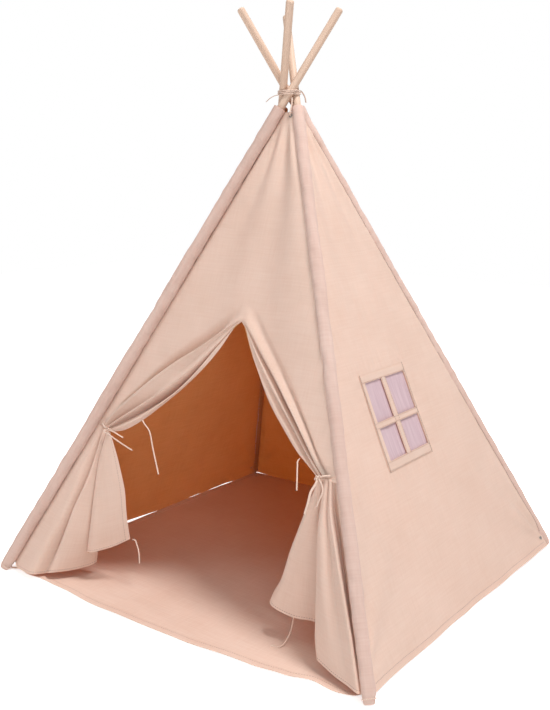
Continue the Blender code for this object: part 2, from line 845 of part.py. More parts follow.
def door_tail(name, door, knot, shares, diameter, pivot):
    """A tail out of its knot's surface, straight for one diameter and then along its route."""
    places = [
        on_wall("front", door["tie"] + x * tie_height, tie_height * (1 + y), z * tie_height)
        for x, y, z in shares
    ]
    middle_point = knot.translation
    toward = (places[0] - middle_point).normalized()
    local = knot.to_3x3().transposed() @ toward
    surface = Vector((local.x * knot_width, local.y * knot_depth, local.z * knot_height)).length / 2
    start = middle_point + toward * (surface + touch_gap)
    free_tail(name, [start, start + toward * diameter] + places[1:], diameter, pivot)


def closing_ribbon(name, door, place_share, shares, pivot):
    """A ribbon sewn to the free edge of a swag."""
    nearest = min(swag_shares(door), key=lambda share: abs(share - place_share))
    edge = swag_point(door, nearest, 1.0)
    away = -swag_normal(door)
    edge += away * cloth_gap
    bend = edge + away * tail_diameter
    places = [on_wall("front", edge.x, edge.y), on_wall("front", bend.x, bend.y)]
    places += [
        on_wall("front", edge.x + x * tie_height, edge.y + y * tie_height, z * tie_height)
        for x, y, z in shares[1:]
    ]
    free_tail(name, places, tail_diameter, pivot)


def corner_ribbon(name, corner, shares, pivot):
    """A ribbon out of a skirt's free corner, first on along the hem."""
    half = base_side / 2
    hem_end, onward = corner
    start = hem_end + onward * touch_gap
    places = [start, start + onward * tail_diameter]
    places += [Vector((x, y, z)) * half - middle for x, y, z in shares]
    free_tail(name, places, tail_diameter, pivot)


def lashing_tail(name, end, onward, shares):
    """A tail that goes on from an end of the lashing; its shares count outward, along and up."""
    outward = end - crossing_middle
    outward.z = 0.0
    outward.normalize()
    start = end + onward * touch_gap
    places = [start, start + onward * tail_diameter]
    for out, along, rise in shares:
        place = outward * out + onward * along + Vector((0.0, 0.0, rise))
        places.append(start + place * lashing_tail_reach)
    free_tail(name, places, tail_diameter, lashing_pivot)


def make_corner_tie(name, pole):
    """A ribbon once round the sleeve's foot, its ends drawn towards the floor sheet's corner."""
    radius = sleeve_radius + touch_gap + tail_diameter / 2
    centre = pole["crossing"] + pole["up"] * (pole_bottom + corner_tie_rise)
    inward = pole["up"].cross(pole["side"])
    if inward.dot(-pole["foot"]) < 0:
        inward.negate()
    across = pole["up"].cross(inward)
    opening = math.asin(tail_diameter / radius)
    turn = 2 * (math.pi - opening)
    angles = [opening + turn * k / tie_loop_points for k in range(tie_loop_points + 1)]
    route = [centre + (inward * math.cos(a) + across * math.sin(a)) * radius for a in angles]
    corner = sheet_corners[name]
    flat_in = (corner - pole["foot"]).normalized()
    flat_across = Vector((-flat_in.y, flat_in.x, 0.0)) * tail_diameter
    if flat_across.dot(across) < 0:
        flat_across.negate()
    target = corner - flat_in * touch_gap + Vector((0.0, 0.0, tail_diameter / 2 + cloth_gap))
    for end, way in ((0, 1), (-1, -1)):
        bend = route[end] + inward * tail_diameter
        last = target + flat_across * way
        before = last - flat_in * tail_diameter
        lead = [bend, bend.lerp(before, 1 / 2), before, last]
        route = lead[::-1] + route if end == 0 else route + lead
    gap = least_gap_to_itself(route, tail_diameter, tie_loop_points // 2)
    print(f"corner tie {name}: least gap to itself {gap * 1000:.2f} mm")
    tube("corner_tie_" + name, route, tail_diameter, cord_cloth, pole["pivot"])


sheet_corners = make_floor_sheet()
for name, pole in poles.items():
    make_pole(name, pole)
    make_sleeve(name, pole)
    make_eyelet(
        "eyelet_foot_" + name,
        foot_eyelet_walls[name],
        foot_eyelet_at(foot_eyelet_walls[name], name),
        foot_eyelet_height,
        pole["pivot"],
    )

side_wall("wall_left", "left", "back_left", "front_left", [], poles["back_left"]["pivot"])
side_wall("wall_back", "back", "back_right", "back_left", [], poles["back_right"]["pivot"])
window_hole = rectangle(pane_left, pane_bottom, pane_right, pane_top)
side_wall("wall_right", "right", "front_right", "back_right", [window_hole], poles["front_right"]["pivot"])
make_window(poles["front_right"]["pivot"])
make_front_panel(poles["front_left"]["pivot"])
make_eyelet("eyelet_top", "front", top_eyelet_along, top_eyelet_height, lashing_pivot)
make_swag("door_swag_left", doors["left"], poles["front_left"]["pivot"])
make_swag("door_swag_right", doors["right"], poles["front_right"]["pivot"])
left_flap_pivot, left_corner = make_skirt("door_skirt_left", left_hem_shares, "front_left", doors["left"])
right_flap_pivot, right_corner = make_skirt("door_skirt_right", right_hem_shares, "front_right", doors["right"])

lashing = lashing_route()
lashing_gap = least_gap_to_itself(lashing, lashing_diameter, lashing_points_per_turn // 2)
print(f"lashing cord: least gap to itself {lashing_gap * 1000:.2f} mm")
tube("lashing_cord", lashing, lashing_diameter, cord_cloth, lashing_pivot)
first_way = (lashing[0] - lashing[1]).normalized()
last_way = (lashing[-1] - lashing[-2]).normalized()
lashing_tail("lashing_tail_left", lashing[0], first_way, left_lashing_tail_shares)
lashing_tail("lashing_tail_right", lashing[-1], last_way, right_lashing_tail_shares)

left_pivot = poles["front_left"]["pivot"]
right_pivot = poles["front_right"]["pivot"]
left_door, right_door = doors["left"], doors["right"]
left_knot = make_tie("left", left_door, "front_left", left_knot_degrees, left_pivot)
right_knot = make_tie("right", right_door, "front_right", right_knot_degrees, right_pivot)
door_tail("tie_tail_left_long", left_door, left_knot, left_long_tail_shares, tape_diameter, left_pivot)
door_tail("tie_tail_left_short", left_door, left_knot, left_short_tail_shares, tail_diameter, left_pivot)
door_tail("tie_tail_right_long", right_door, right_knot, right_long_tail_shares, tape_diameter, right_pivot)
door_tail("tie_tail_right_short", right_door, right_knot, right_short_tail_shares, tail_diameter, right_pivot)
closing_ribbon("closing_ribbon_left", left_door, left_closing_place_share, left_closing_shares, left_pivot)
closing_ribbon("closing_ribbon_right", right_door, right_closing_place_share, right_closing_shares, right_pivot)
corner_ribbon("hem_ribbon_left", left_corner, left_corner_shares, left_flap_pivot)
corner_ribbon("hem_ribbon_right", right_corner, right_corner_shares, right_flap_pivot)
cover_start = eyelet_height / 2 + touch_gap
cover_places = [
    on_wall("front", top_eyelet_along, top_eyelet_height, cover_start),
    on_wall("front", top_eyelet_along, top_eyelet_height, cover_start + tail_diameter),
]
for x, y, z in cover_cord_shares:
    along, height = top_eyelet_along + x * wall_top_drop, top_eyelet_height + y * wall_top_drop
    cover_places.append(on_wall("front", along, height, z * wall_top_drop))
free_tail("cover_cord", cover_places, tail_diameter, lashing_pivot)
for name, pole in poles.items():
    make_corner_tie(name, pole)
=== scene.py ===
import math

import bpy
from mathutils import Matrix, Vector, noise


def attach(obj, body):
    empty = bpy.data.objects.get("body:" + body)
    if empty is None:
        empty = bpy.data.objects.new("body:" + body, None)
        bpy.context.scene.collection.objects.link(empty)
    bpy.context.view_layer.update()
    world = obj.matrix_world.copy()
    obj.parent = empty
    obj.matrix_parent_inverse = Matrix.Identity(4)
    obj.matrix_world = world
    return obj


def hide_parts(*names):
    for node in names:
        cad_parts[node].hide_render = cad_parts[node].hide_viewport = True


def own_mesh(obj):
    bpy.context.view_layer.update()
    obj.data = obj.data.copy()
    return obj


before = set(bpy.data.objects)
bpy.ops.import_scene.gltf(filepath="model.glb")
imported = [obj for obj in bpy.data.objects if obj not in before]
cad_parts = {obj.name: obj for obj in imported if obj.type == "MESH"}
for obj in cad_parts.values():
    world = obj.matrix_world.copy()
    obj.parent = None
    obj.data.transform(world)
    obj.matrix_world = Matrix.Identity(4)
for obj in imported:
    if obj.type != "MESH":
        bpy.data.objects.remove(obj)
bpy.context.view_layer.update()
scene = bpy.context.scene
print("teepee: CAD frame loaded")

# Camera at the photograph's viewing angle
view = {
    "place": (1.64398, -2.23617, 1.19583),
    "target": (-0.0491, -0.02581, 0.641),
    "lens": 62.59,
    "sensor": 36.0,
    "rollDegrees": 0.4,
}


def addCamera(view):
    place, target = Vector(view["place"]), Vector(view["target"])
    back = (place - target).normalized()
    right = Vector((0, 0, 1)).cross(back).normalized()
    up = back.cross(right)
    c, s = math.cos(math.radians(view["rollDegrees"])), math.sin(math.radians(view["rollDegrees"]))
    turned = Matrix((right * c + up * s, up * c - right * s, back)).transposed().to_4x4()
    turned.translation = place
    data = bpy.data.cameras.new("camera")
    data.lens, data.sensor_width, data.sensor_fit = view["lens"], view["sensor"], "HORIZONTAL"
    camera = bpy.data.objects.new("camera", data)
    scene.collection.objects.link(camera)
    camera.matrix_world = turned
    scene.camera = camera


addCamera(view)

# Poles and the planes of the four cloth sides, as the CAD has them
poles = {
    "front_left": {"cross": (-0.00893, -0.01778, 1.394), "up": (0.3799, 0.355, 0.8542),
                   "side": (0.68276, -0.73064, 0)},
    "front_right": {"cross": (-0.00936, 0.00912, 1.394), "up": (-0.3911, 0.34262, 0.8542),
                    "side": (0.65895, 0.75218, 0)},
    "back_right": {"cross": (-0.0339, 0.00854, 1.394), "up": (-0.37452, -0.36066, 0.8542),
                   "side": (-0.69365, 0.72031, 0)},
    "back_left": {"cross": (-0.03431, -0.01718, 1.394), "up": (0.36275, -0.3725, 0.8542),
                  "side": (-0.71642, -0.69767, 0)},
}
for pole in poles.values():
    for key in ("cross", "up", "side"):
        pole[key] = Vector(pole[key])
poleReach = {"bottom": -1.6252}  # the foot, along the pole from the crossing

# edges are (along at the hem, along at the top, height of the top)
walls = {
    "front": {"origin": (0, -0.5736, 0), "out": (0.0149, -0.9257, 0.3781), "along": (0.9999, 0.0161, 0),
              "up": (-0.0061, 0.378, 0.9258), "left": (-0.60555, -0.01254), "right": (0.6098, 0.0168),
              "top": 1.44717, "poles": ("front_left", "front_right")},
    "right": {"origin": (0.6031, 0.0236, 0), "out": (0.9123, 0.0215, 0.4091), "along": (-0.0236, 0.9997, 0),
              "up": (-0.4089, -0.0096, 0.9125), "left": (-0.55034, -0.00913), "right": (0.55411, 0.0129),
              "top": 1.46834, "poles": ("front_right", "back_right")},
    "back": {"origin": (-0.0245, 0.5939, 0), "out": (0.0148, 0.9188, 0.3944), "along": (-0.9999, 0.0161, 0),
             "up": (-0.0063, -0.3944, 0.9189), "left": (-0.57795, -0.01077), "right": (0.58197, 0.0148),
             "top": 1.45799, "poles": ("back_right", "back_left")},
    "left": {"origin": (-0.6276, -0.0032, 0), "out": (-0.9168, 0.0216, 0.3988),
             "along": (-0.0236, -0.9997, 0), "up": (0.3986, -0.0094, 0.9171),
             "left": (-0.57006, -0.01029), "right": (0.57402, 0.01425),
             "top": 1.4608, "poles": ("back_left", "front_left")},
}
for wall in walls.values():
    for key in ("origin", "out", "along", "up"):
        wall[key] = Vector(wall[key])
cover = {
    "hem": 0.028,  # where the CAD hem lies up the slope
    "thickness": 0.0013,
    "tuck": 0.004,  # how far the cloth runs under its sleeve
    "seamOffset": 0.016,  # from a pole's axis to the line that its cloth gathers to
    "foldKeep": 0.125,  # how narrow a half side gathers when the poles fold together
}


def onWall(name, along, height, out=0.0):
    wall = walls[name]
    return wall["origin"] + wall["along"] * along + wall["up"] * height + wall["out"] * out


def edgeAt(name, which, height):
    low, high = walls[name][which]
    share = (height - cover["hem"]) / (walls[name]["top"] - cover["hem"])
    tuck = cover["tuck"] if which == "right" else -cover["tuck"]
    return low + (high - low) * share + tuck * max(0.0, 1.0 - max(0.0, share) ** 8)


def mix(a, b, share):
    return a + (b - a) * share


def ramp(x):
    x = min(1.0, max(0.0, x))
    return x * x * (3 - 2 * x)


# Node helpers
def hexColour(text):
    parts = [int(text[i:i + 2], 16) / 255 for i in (1, 3, 5)]
    return tuple(c / 12.92 if c <= 0.04045 else ((c + 0.055) / 1.055) ** 2.4 for c in parts) + (1.0,)


def addNode(tree, kind, values=None, settings=None):
    node = tree.nodes.new(kind)
    for name, value in (settings or {}).items():
        setattr(node, name, value)
    for name, value in (values or {}).items():
        if isinstance(value, bpy.types.NodeSocket):
            tree.links.new(value, node.inputs[name])
        else:
            node.inputs[name].default_value = value
    return node


def newMaterial(name):
    material = bpy.data.materials.new(name)
    material.use_nodes = True
    material.node_tree.nodes.clear()
    return material, material.node_tree


def finishMaterial(tree, shader):
    addNode(tree, "ShaderNodeOutputMaterial", {"Surface": shader})


def colourRamp(tree, factor, stops):
    node = addNode(tree, "ShaderNodeValToRGB", {"Fac": factor})
    while len(node.color_ramp.elements) < len(stops):
        node.color_ramp.elements.new(0.5)
    for element, (place, colour) in zip(node.color_ramp.elements, stops):
        element.position, element.color = place, colour
    return node.outputs["Color"]


# Cotton-polyester canvas, plain woven: matt, with slub threads along and across. Threads are 0.6 mm apart,
# too fine for the render, so the weave is drawn at 2.4 mm and the slubs at 5 mm by 90 mm.
def canvasMaterial(name, spec):
    material, tree = newMaterial(name)
    uv = addNode(tree, "ShaderNodeUVMap", settings={"uv_map": "cloth"}).outputs["UV"]
    across = addNode(tree, "ShaderNodeMapping", {"Vector": uv, "Scale": (11, 210, 1)}).outputs["Vector"]
    upward = addNode(tree, "ShaderNodeMapping", {"Vector": uv, "Scale": (210, 13, 1)}).outputs["Vector"]
    slubAcross = addNode(tree, "ShaderNodeTexNoise",
                         {"Vector": across, "Scale": 1.0, "Detail": 3.0}).outputs["Fac"]
    slubUp = addNode(tree, "ShaderNodeTexNoise",
                     {"Vector": upward, "Scale": 1.0, "Detail": 2.0}).outputs["Fac"]
    broad = addNode(tree, "ShaderNodeTexNoise", {"Vector": uv, "Scale": 5.0, "Detail": 2.0}).outputs["Fac"]
    slubs = addNode(tree, "ShaderNodeMix", {"Factor": 0.42, "A": slubAcross, "B": slubUp}).outputs["Result"]
    tone = addNode(tree, "ShaderNodeMix", {"Factor": 0.35, "A": slubs, "B": broad}).outputs["Result"]
    light, dark = hexColour(spec["light"]), hexColour(spec["dark"])
    colour = colourRamp(tree, tone, [(0.3, dark), (0.7, light)])
    # 2.4 mm: a band wave's period is 0.314 m over its scale
    warp = addNode(tree, "ShaderNodeTexWave", {"Vector": uv, "Scale": 131.0},
                   {"bands_direction": "X"}).outputs["Fac"]
    weft = addNode(tree, "ShaderNodeTexWave", {"Vector": uv, "Scale": 131.0},
                   {"bands_direction": "Y"}).outputs["Fac"]
    weave = addNode(tree, "ShaderNodeMath", {0: warp, 1: weft}, {"operation": "MULTIPLY"}).outputs[0]
    height = addNode(tree, "ShaderNodeMix", {"Factor": 0.88, "A": weave, "B": slubs}).outputs["Result"]
    normal = addNode(tree, "ShaderNodeBump",
                     {"Strength": spec["bump"], "Distance": 0.0012, "Height": height}).outputs["Normal"]
    face = addNode(tree, "ShaderNodeBsdfPrincipled", {
        "Base Color": colour, "Roughness": 0.9, "Specular IOR Level": 0.25, "Normal": normal,
        "Sheen Weight": 0.12, "Sheen Roughness": 0.6}).outputs["BSDF"]
    through = addNode(tree, "ShaderNodeBsdfTranslucent",
                      {"Color": hexColour(spec["through"]), "Normal": normal}).outputs["BSDF"]
    shader = addNode(tree, "ShaderNodeMixShader", {0: spec["share"], 1: face, 2: through}).outputs[0]
    finishMaterial(tree, shader)
    return material


# Pine dowel, turned and sanded: pale, with fine long grain and a soft dull sheen. Grain lines are
# 2 to 4 mm apart.
def pineMaterial(name, pole):
    material, tree = newMaterial("pine_" + name)
    around = Matrix((pole["side"], pole["up"].cross(pole["side"]), pole["up"])).transposed()
    place = addNode(tree, "ShaderNodeTexCoord").outputs["Object"]
    own = addNode(tree, "ShaderNodeMapping", {
        "Vector": place, "Location": pole["cross"], "Rotation": around.to_euler()},
        {"vector_type": "TEXTURE"}).outputs["Vector"]
    long = addNode(tree, "ShaderNodeMapping", {"Vector": own, "Scale": (150, 150, 4)}).outputs["Vector"]
    grain = addNode(tree, "ShaderNodeTexNoise",
                    {"Vector": long, "Scale": 1.0, "Detail": 2.0, "Roughness": 0.5}).outputs["Fac"]
    slow = addNode(tree, "ShaderNodeMapping", {"Vector": own, "Scale": (30, 30, 2.5)}).outputs["Vector"]
    patch = addNode(tree, "ShaderNodeTexNoise", {"Vector": slow, "Scale": 1.0, "Detail": 1.0}).outputs["Fac"]
    tone = addNode(tree, "ShaderNodeMix", {"Factor": 0.4, "A": grain, "B": patch}).outputs["Result"]
    colour = colourRamp(tree, tone, [
        (0.25, hexColour("#C6A48D")), (0.5, hexColour("#D3B5A0")), (0.75, hexColour("#DDC3B0"))])
    normal = addNode(tree, "ShaderNodeBump",
                     {"Strength": 0.12, "Distance": 0.0003, "Height": grain}).outputs["Normal"]
    shader = addNode(tree, "ShaderNodeBsdfPrincipled", {
        "Base Color": colour, "Roughness": 0.58, "IOR": 1.5, "Specular IOR Level": 0.4,
        "Normal": normal}).outputs["BSDF"]
    finishMaterial(tree, shader)
    return material


# Cotton tape and cord: matt, twisted from strands that cross it every 3 mm, which the bump follows.
def cottonMaterial(name, light, dark):
    material, tree = newMaterial(name)
    uv = addNode(tree, "ShaderNodeUVMap", settings={"uv_map": "cloth"}).outputs["UV"]
    lay = addNode(tree, "ShaderNodeMapping", {"Vector": uv, "Rotation": (0, 0, 0.6)}).outputs["Vector"]
    strands = addNode(tree, "ShaderNodeTexWave", {"Vector": lay, "Scale": 105.0, "Distortion": 0.6},
                      {"bands_direction": "X"}).outputs["Fac"]
    fuzz = addNode(tree, "ShaderNodeTexNoise", {"Vector": uv, "Scale": 900.0, "Detail": 2.0}).outputs["Fac"]
    tone = addNode(tree, "ShaderNodeMix", {"Factor": 0.35, "A": strands, "B": fuzz}).outputs["Result"]
    colour = colourRamp(tree, tone, [(0.25, hexColour(dark)), (0.75, hexColour(light))])
    normal = addNode(tree, "ShaderNodeBump",
                     {"Strength": 0.5, "Distance": 0.0006, "Height": tone}).outputs["Normal"]
    shader = addNode(tree, "ShaderNodeBsdfPrincipled", {
        "Base Color": colour, "Roughness": 0.88, "Specular IOR Level": 0.25, "Sheen Weight": 0.2,
        "Normal": normal}).outputs["BSDF"]
    finishMaterial(tree, shader)
    return material


# Polyester sewing thread, spun and smooth: a soft sheen, its plies showing as light and dark about
# 1 mm apart.
def threadMaterial(name, light, dark):
    material, tree = newMaterial(name)
    place = addNode(tree, "ShaderNodeTexCoord").outputs["Object"]
    plies = addNode(tree, "ShaderNodeTexNoise",
                    {"Vector": place, "Scale": 950.0, "Detail": 1.0}).outputs["Fac"]
    colour = colourRamp(tree, plies, [(0.3, hexColour(dark)), (0.7, hexColour(light))])
    normal = addNode(tree, "ShaderNodeBump",
                     {"Strength": 0.3, "Distance": 0.0003, "Height": plies}).outputs["Normal"]
    shader = addNode(tree, "ShaderNodeBsdfPrincipled", {
        "Base Color": colour, "Roughness": 0.55, "Specular IOR Level": 0.4, "Sheen Weight": 0.1,
        "Normal": normal}).outputs["BSDF"]
    finishMaterial(tree, shader)
    return material


# Nickel-plated brass eyelet, pressed: grey metal, slightly dulled, with fine handling marks.
def nickelMaterial():
    material, tree = newMaterial("nickel_plated_brass")
    place = addNode(tree, "ShaderNodeTexCoord").outputs["Object"]
    marks = addNode(tree, "ShaderNodeTexNoise",
                    {"Vector": place, "Scale": 420.0, "Detail": 3.0}).outputs["Fac"]
    colour = colourRamp(tree, marks, [(0.3, hexColour("#6E6864")), (0.7, hexColour("#A8A19A"))])
    rough = addNode(tree, "ShaderNodeMapRange",
                    {"Value": marks, "To Min": 0.25, "To Max": 0.45}).outputs["Result"]
    shader = addNode(tree, "ShaderNodeBsdfPrincipled",
                     {"Base Color": colour, "Metallic": 1.0, "Roughness": rough}).outputs["BSDF"]
    finishMaterial(tree, shader)
    return material


# Polyester voile: a fine open mesh, soft and half clear, pale lilac. The mesh of 0.3 mm is drawn at 2 mm.
def voileMaterial():
    material, tree = newMaterial("polyester_voile")
    uv = addNode(tree, "ShaderNodeUVMap", settings={"uv_map": "cloth"}).outputs["UV"]
    up = addNode(tree, "ShaderNodeMapping", {"Vector": uv, "Scale": (160, 9, 1)}).outputs["Vector"]
    streak = addNode(tree, "ShaderNodeTexNoise", {"Vector": up, "Scale": 1.0, "Detail": 2.0}).outputs["Fac"]
    mesh = addNode(tree, "ShaderNodeTexWave", {"Vector": uv, "Scale": 157.0},
                   {"bands_direction": "Y"}).outputs["Fac"]
    tone = addNode(tree, "ShaderNodeMix", {"Factor": 0.3, "A": streak, "B": mesh}).outputs["Result"]
    colour = colourRamp(tree, tone, [(0.3, hexColour("#C2A4AC")), (0.7, hexColour("#D8BEC3"))])
    face = addNode(tree, "ShaderNodeBsdfPrincipled", {
        "Base Color": colour, "Roughness": 0.7, "Specular IOR Level": 0.3,
        "Sheen Weight": 0.2}).outputs["BSDF"]
    clear = addNode(tree, "ShaderNodeBsdfTransparent", {"Color": (1, 1, 1, 1)}).outputs["BSDF"]
    shader = addNode(tree, "ShaderNodeMixShader", {0: 0.12, 1: face, 2: clear}).outputs[0]
    finishMaterial(tree, shader)
    return material


canvas = canvasMaterial("canvas_outside", {
    "light": "#F0DCCD", "dark": "#E4CAB8", "through": "#FFC285", "share": 0.26, "bump": 0.28})
# The cover's inner skin: the same canvas as the outside, painted darker and deeper orange, with a deeper
# orange translucency. This is painted shade standing in for light glowing through the cloth inside the tent.
canvasInsidePaintedShade = canvasMaterial("canvas_inside_painted_shade", {
    "light": "#DAAE7C", "dark": "#C3905A", "through": "#FFB25E", "share": 0.30, "bump": 0.7})
# The sleeves: the same canvas, drawn darker and more lilac than the outside as painted shade. The doubled
# cloth also lets less light through.
sleeveCanvasPaintedShade = canvasMaterial("canvas_sleeve", {
    "light": "#E8D1C5", "dark": "#D8B9AB", "through": "#FFB27C", "share": 0.2, "bump": 0.4})
floorCanvas = canvasMaterial("canvas_floor", {
    "light": "#F0D4C4", "dark": "#E4BFAB", "through": "#C08060", "share": 0.04, "bump": 0.35})
cotton = cottonMaterial("cotton_tape", "#EBD3C4", "#CFAE9B")
thread = threadMaterial("polyester_thread", "#C3A08E", "#A27E6C")
# Seam thread: real stitches, drawn dark so that they also paint the shade line in the gap of a seam
seamThreadPaintedShade = threadMaterial("polyester_seam_thread_painted_shade", "#97755F", "#785847")
nickel = nickelMaterial()
voile = voileMaterial()
print("teepee: materials ready")


# Meshes
def addObject(name, mesh, materials):
    for material in materials:
        mesh.materials.append(material)
    made = bpy.data.objects.new(name, mesh)
    scene.collection.objects.link(made)
    return made


# A closed cloth from a grid of points: an outer and an inner skin and a rim. The skins share the whole
# sheet's normals, so a sheet cut into parts shows no join.
def clothParts(points, faces, uvs, parts, thickness, materials):
    whole = bpy.data.meshes.new("whole")
    whole.from_pydata([tuple(p) for p in points], [], faces)
    whole.update()
    normals = [Vector(v.vector) for v in whole.vertex_normals]
    bpy.data.meshes.remove(whole)
    made = {}
    for name, chosen in parts.items():
        used = sorted({v for f in chosen for v in faces[f]})
        place = {v: k for k, v in enumerate(used)}
        count = len(used)
        outer = [points[v] + normals[v] * thickness / 2 for v in used]
        inner = [points[v] - normals[v] * thickness / 2 for v in used]
        sides = {}
        quads, kinds = [], []
        for f in chosen:
            ring = [place[v] for v in faces[f]]
            quads.append(tuple(ring))
            kinds.append(0)
            for a, b in zip(ring, ring[1:] + ring[:1]):
                sides[(a, b)] = True
        for quad in list(quads):
            # turned over but cut along the same diagonal, so the skins of a bent cell don't cross
            quads.append(tuple(v + count for v in (quad[0], *quad[:0:-1])))
            kinds.append(1)
        for a, b in sides:
            if (b, a) not in sides:
                quads.append((b, a, a + count, b + count))
                kinds.append(2)
        mesh = bpy.data.meshes.new(name)
        mesh.from_pydata([tuple(p) for p in outer + inner], [], quads)
        mesh.polygons.foreach_set("use_smooth", [True] * len(quads))
        # the inner skin takes the second material: for the cover, the inside canvas with its painted shade
        mesh.polygons.foreach_set("material_index", [1 if k == 1 else 0 for k in kinds])
        layer = mesh.uv_layers.new(name="cloth")
        flat, loopNormals = [], []
        for polygon, kind in zip(mesh.polygons, kinds):
            for v in polygon.vertices:
                flat.extend(uvs[used[v % count]])
                if kind == 2:
                    loopNormals.append(tuple(polygon.normal))
                else:
                    loopNormals.append(tuple(normals[used[v % count]] * (1 if kind == 0 else -1)))
        layer.data.foreach_set("uv", flat)
        mesh.normals_split_custom_set(loopNormals)
        made[name] = addObject(name, mesh, materials)
    return made


def smoothLine(places, samples):
    # even points on a smooth curve through the places
    places = [Vector(p) for p in places]
    dense = []
    for i in range(len(places) - 1):
        a = places[max(i - 1, 0)]
        b, c = places[i], places[i + 1]
        d = places[min(i + 2, len(places) - 1)]
        step = (c - b).length
        before = (c - a) * (step / max(1e-9, (b - a).length + step)) if i > 0 else (c - b)
        after = (d - b) * (step / max(1e-9, (d - c).length + step)) if i < len(places) - 2 else (c - b)
        for k in range(12):
            f = k / 12
            dense.append(b * (2 * f**3 - 3 * f**2 + 1) + before * (f**3 - 2 * f**2 + f)
                         + c * (3 * f**2 - 2 * f**3) + after * (f**3 - f**2))
    dense.append(places[-1])
    return evenly(dense, samples)


def evenly(dense, samples):
    run = [0.0]
    for a, b in zip(dense, dense[1:]):
        run.append(run[-1] + (b - a).length)
    line, j = [], 0
    for k in range(samples):
        wanted = run[-1] * k / (samples - 1)
        while j < len(run) - 2 and run[j + 1] < wanted:
            j += 1
        line.append(dense[j].lerp(
            dense[j + 1], min(1.0, (wanted - run[j]) / max(1e-12, run[j + 1] - run[j]))))
    return line


# A cord or tape: an oval section carried along its route, closed at both ends.
def sweptCord(name, route, width, depth, sides=10, material=None):
    rings, uvs = [], []
    way = (route[1] - route[0]).normalized()
    across = way.orthogonal().normalized()
    run = 0.0
    for i, point in enumerate(route):
        ahead = (route[min(i + 1, len(route) - 1)] - route[max(i - 1, 0)]).normalized()
        across = (across - ahead * across.dot(ahead)).normalized()
        other = ahead.cross(across)
        run += (point - route[i - 1]).length if i else 0.0
        rings.append([point + across * (width / 2 * math.cos(a)) + other * (depth / 2 * math.sin(a))
                      for a in (2 * math.pi * k / sides for k in range(sides))])
        uvs.append(run)
    points = [p for ring in rings for p in ring]
    quads = [(i * sides + k, i * sides + (k + 1) % sides,
              (i + 1) * sides + (k + 1) % sides, (i + 1) * sides + k)
             for i in range(len(rings) - 1) for k in range(sides)]
    quads.append(tuple(range(sides - 1, -1, -1)))
    quads.append(tuple(range((len(rings) - 1) * sides, len(rings) * sides)))
    mesh = bpy.data.meshes.new(name)
    mesh.from_pydata([tuple(p) for p in points], [], quads)
    mesh.polygons.foreach_set("use_smooth", [len(q) == 4 for q in quads])
    layer = mesh.uv_layers.new(name="cloth")
    flat = []
    for polygon in mesh.polygons:
        ring = [v % sides for v in polygon.vertices]
        for v, k in zip(polygon.vertices, ring):
            turn = k + sides if len(ring) == 4 and k == 0 and sides - 1 in ring else k
            flat.extend((uvs[v // sides], turn / sides * math.pi * width))
    layer.data.foreach_set("uv", flat)
    return addObject(name, mesh, [material or cotton])


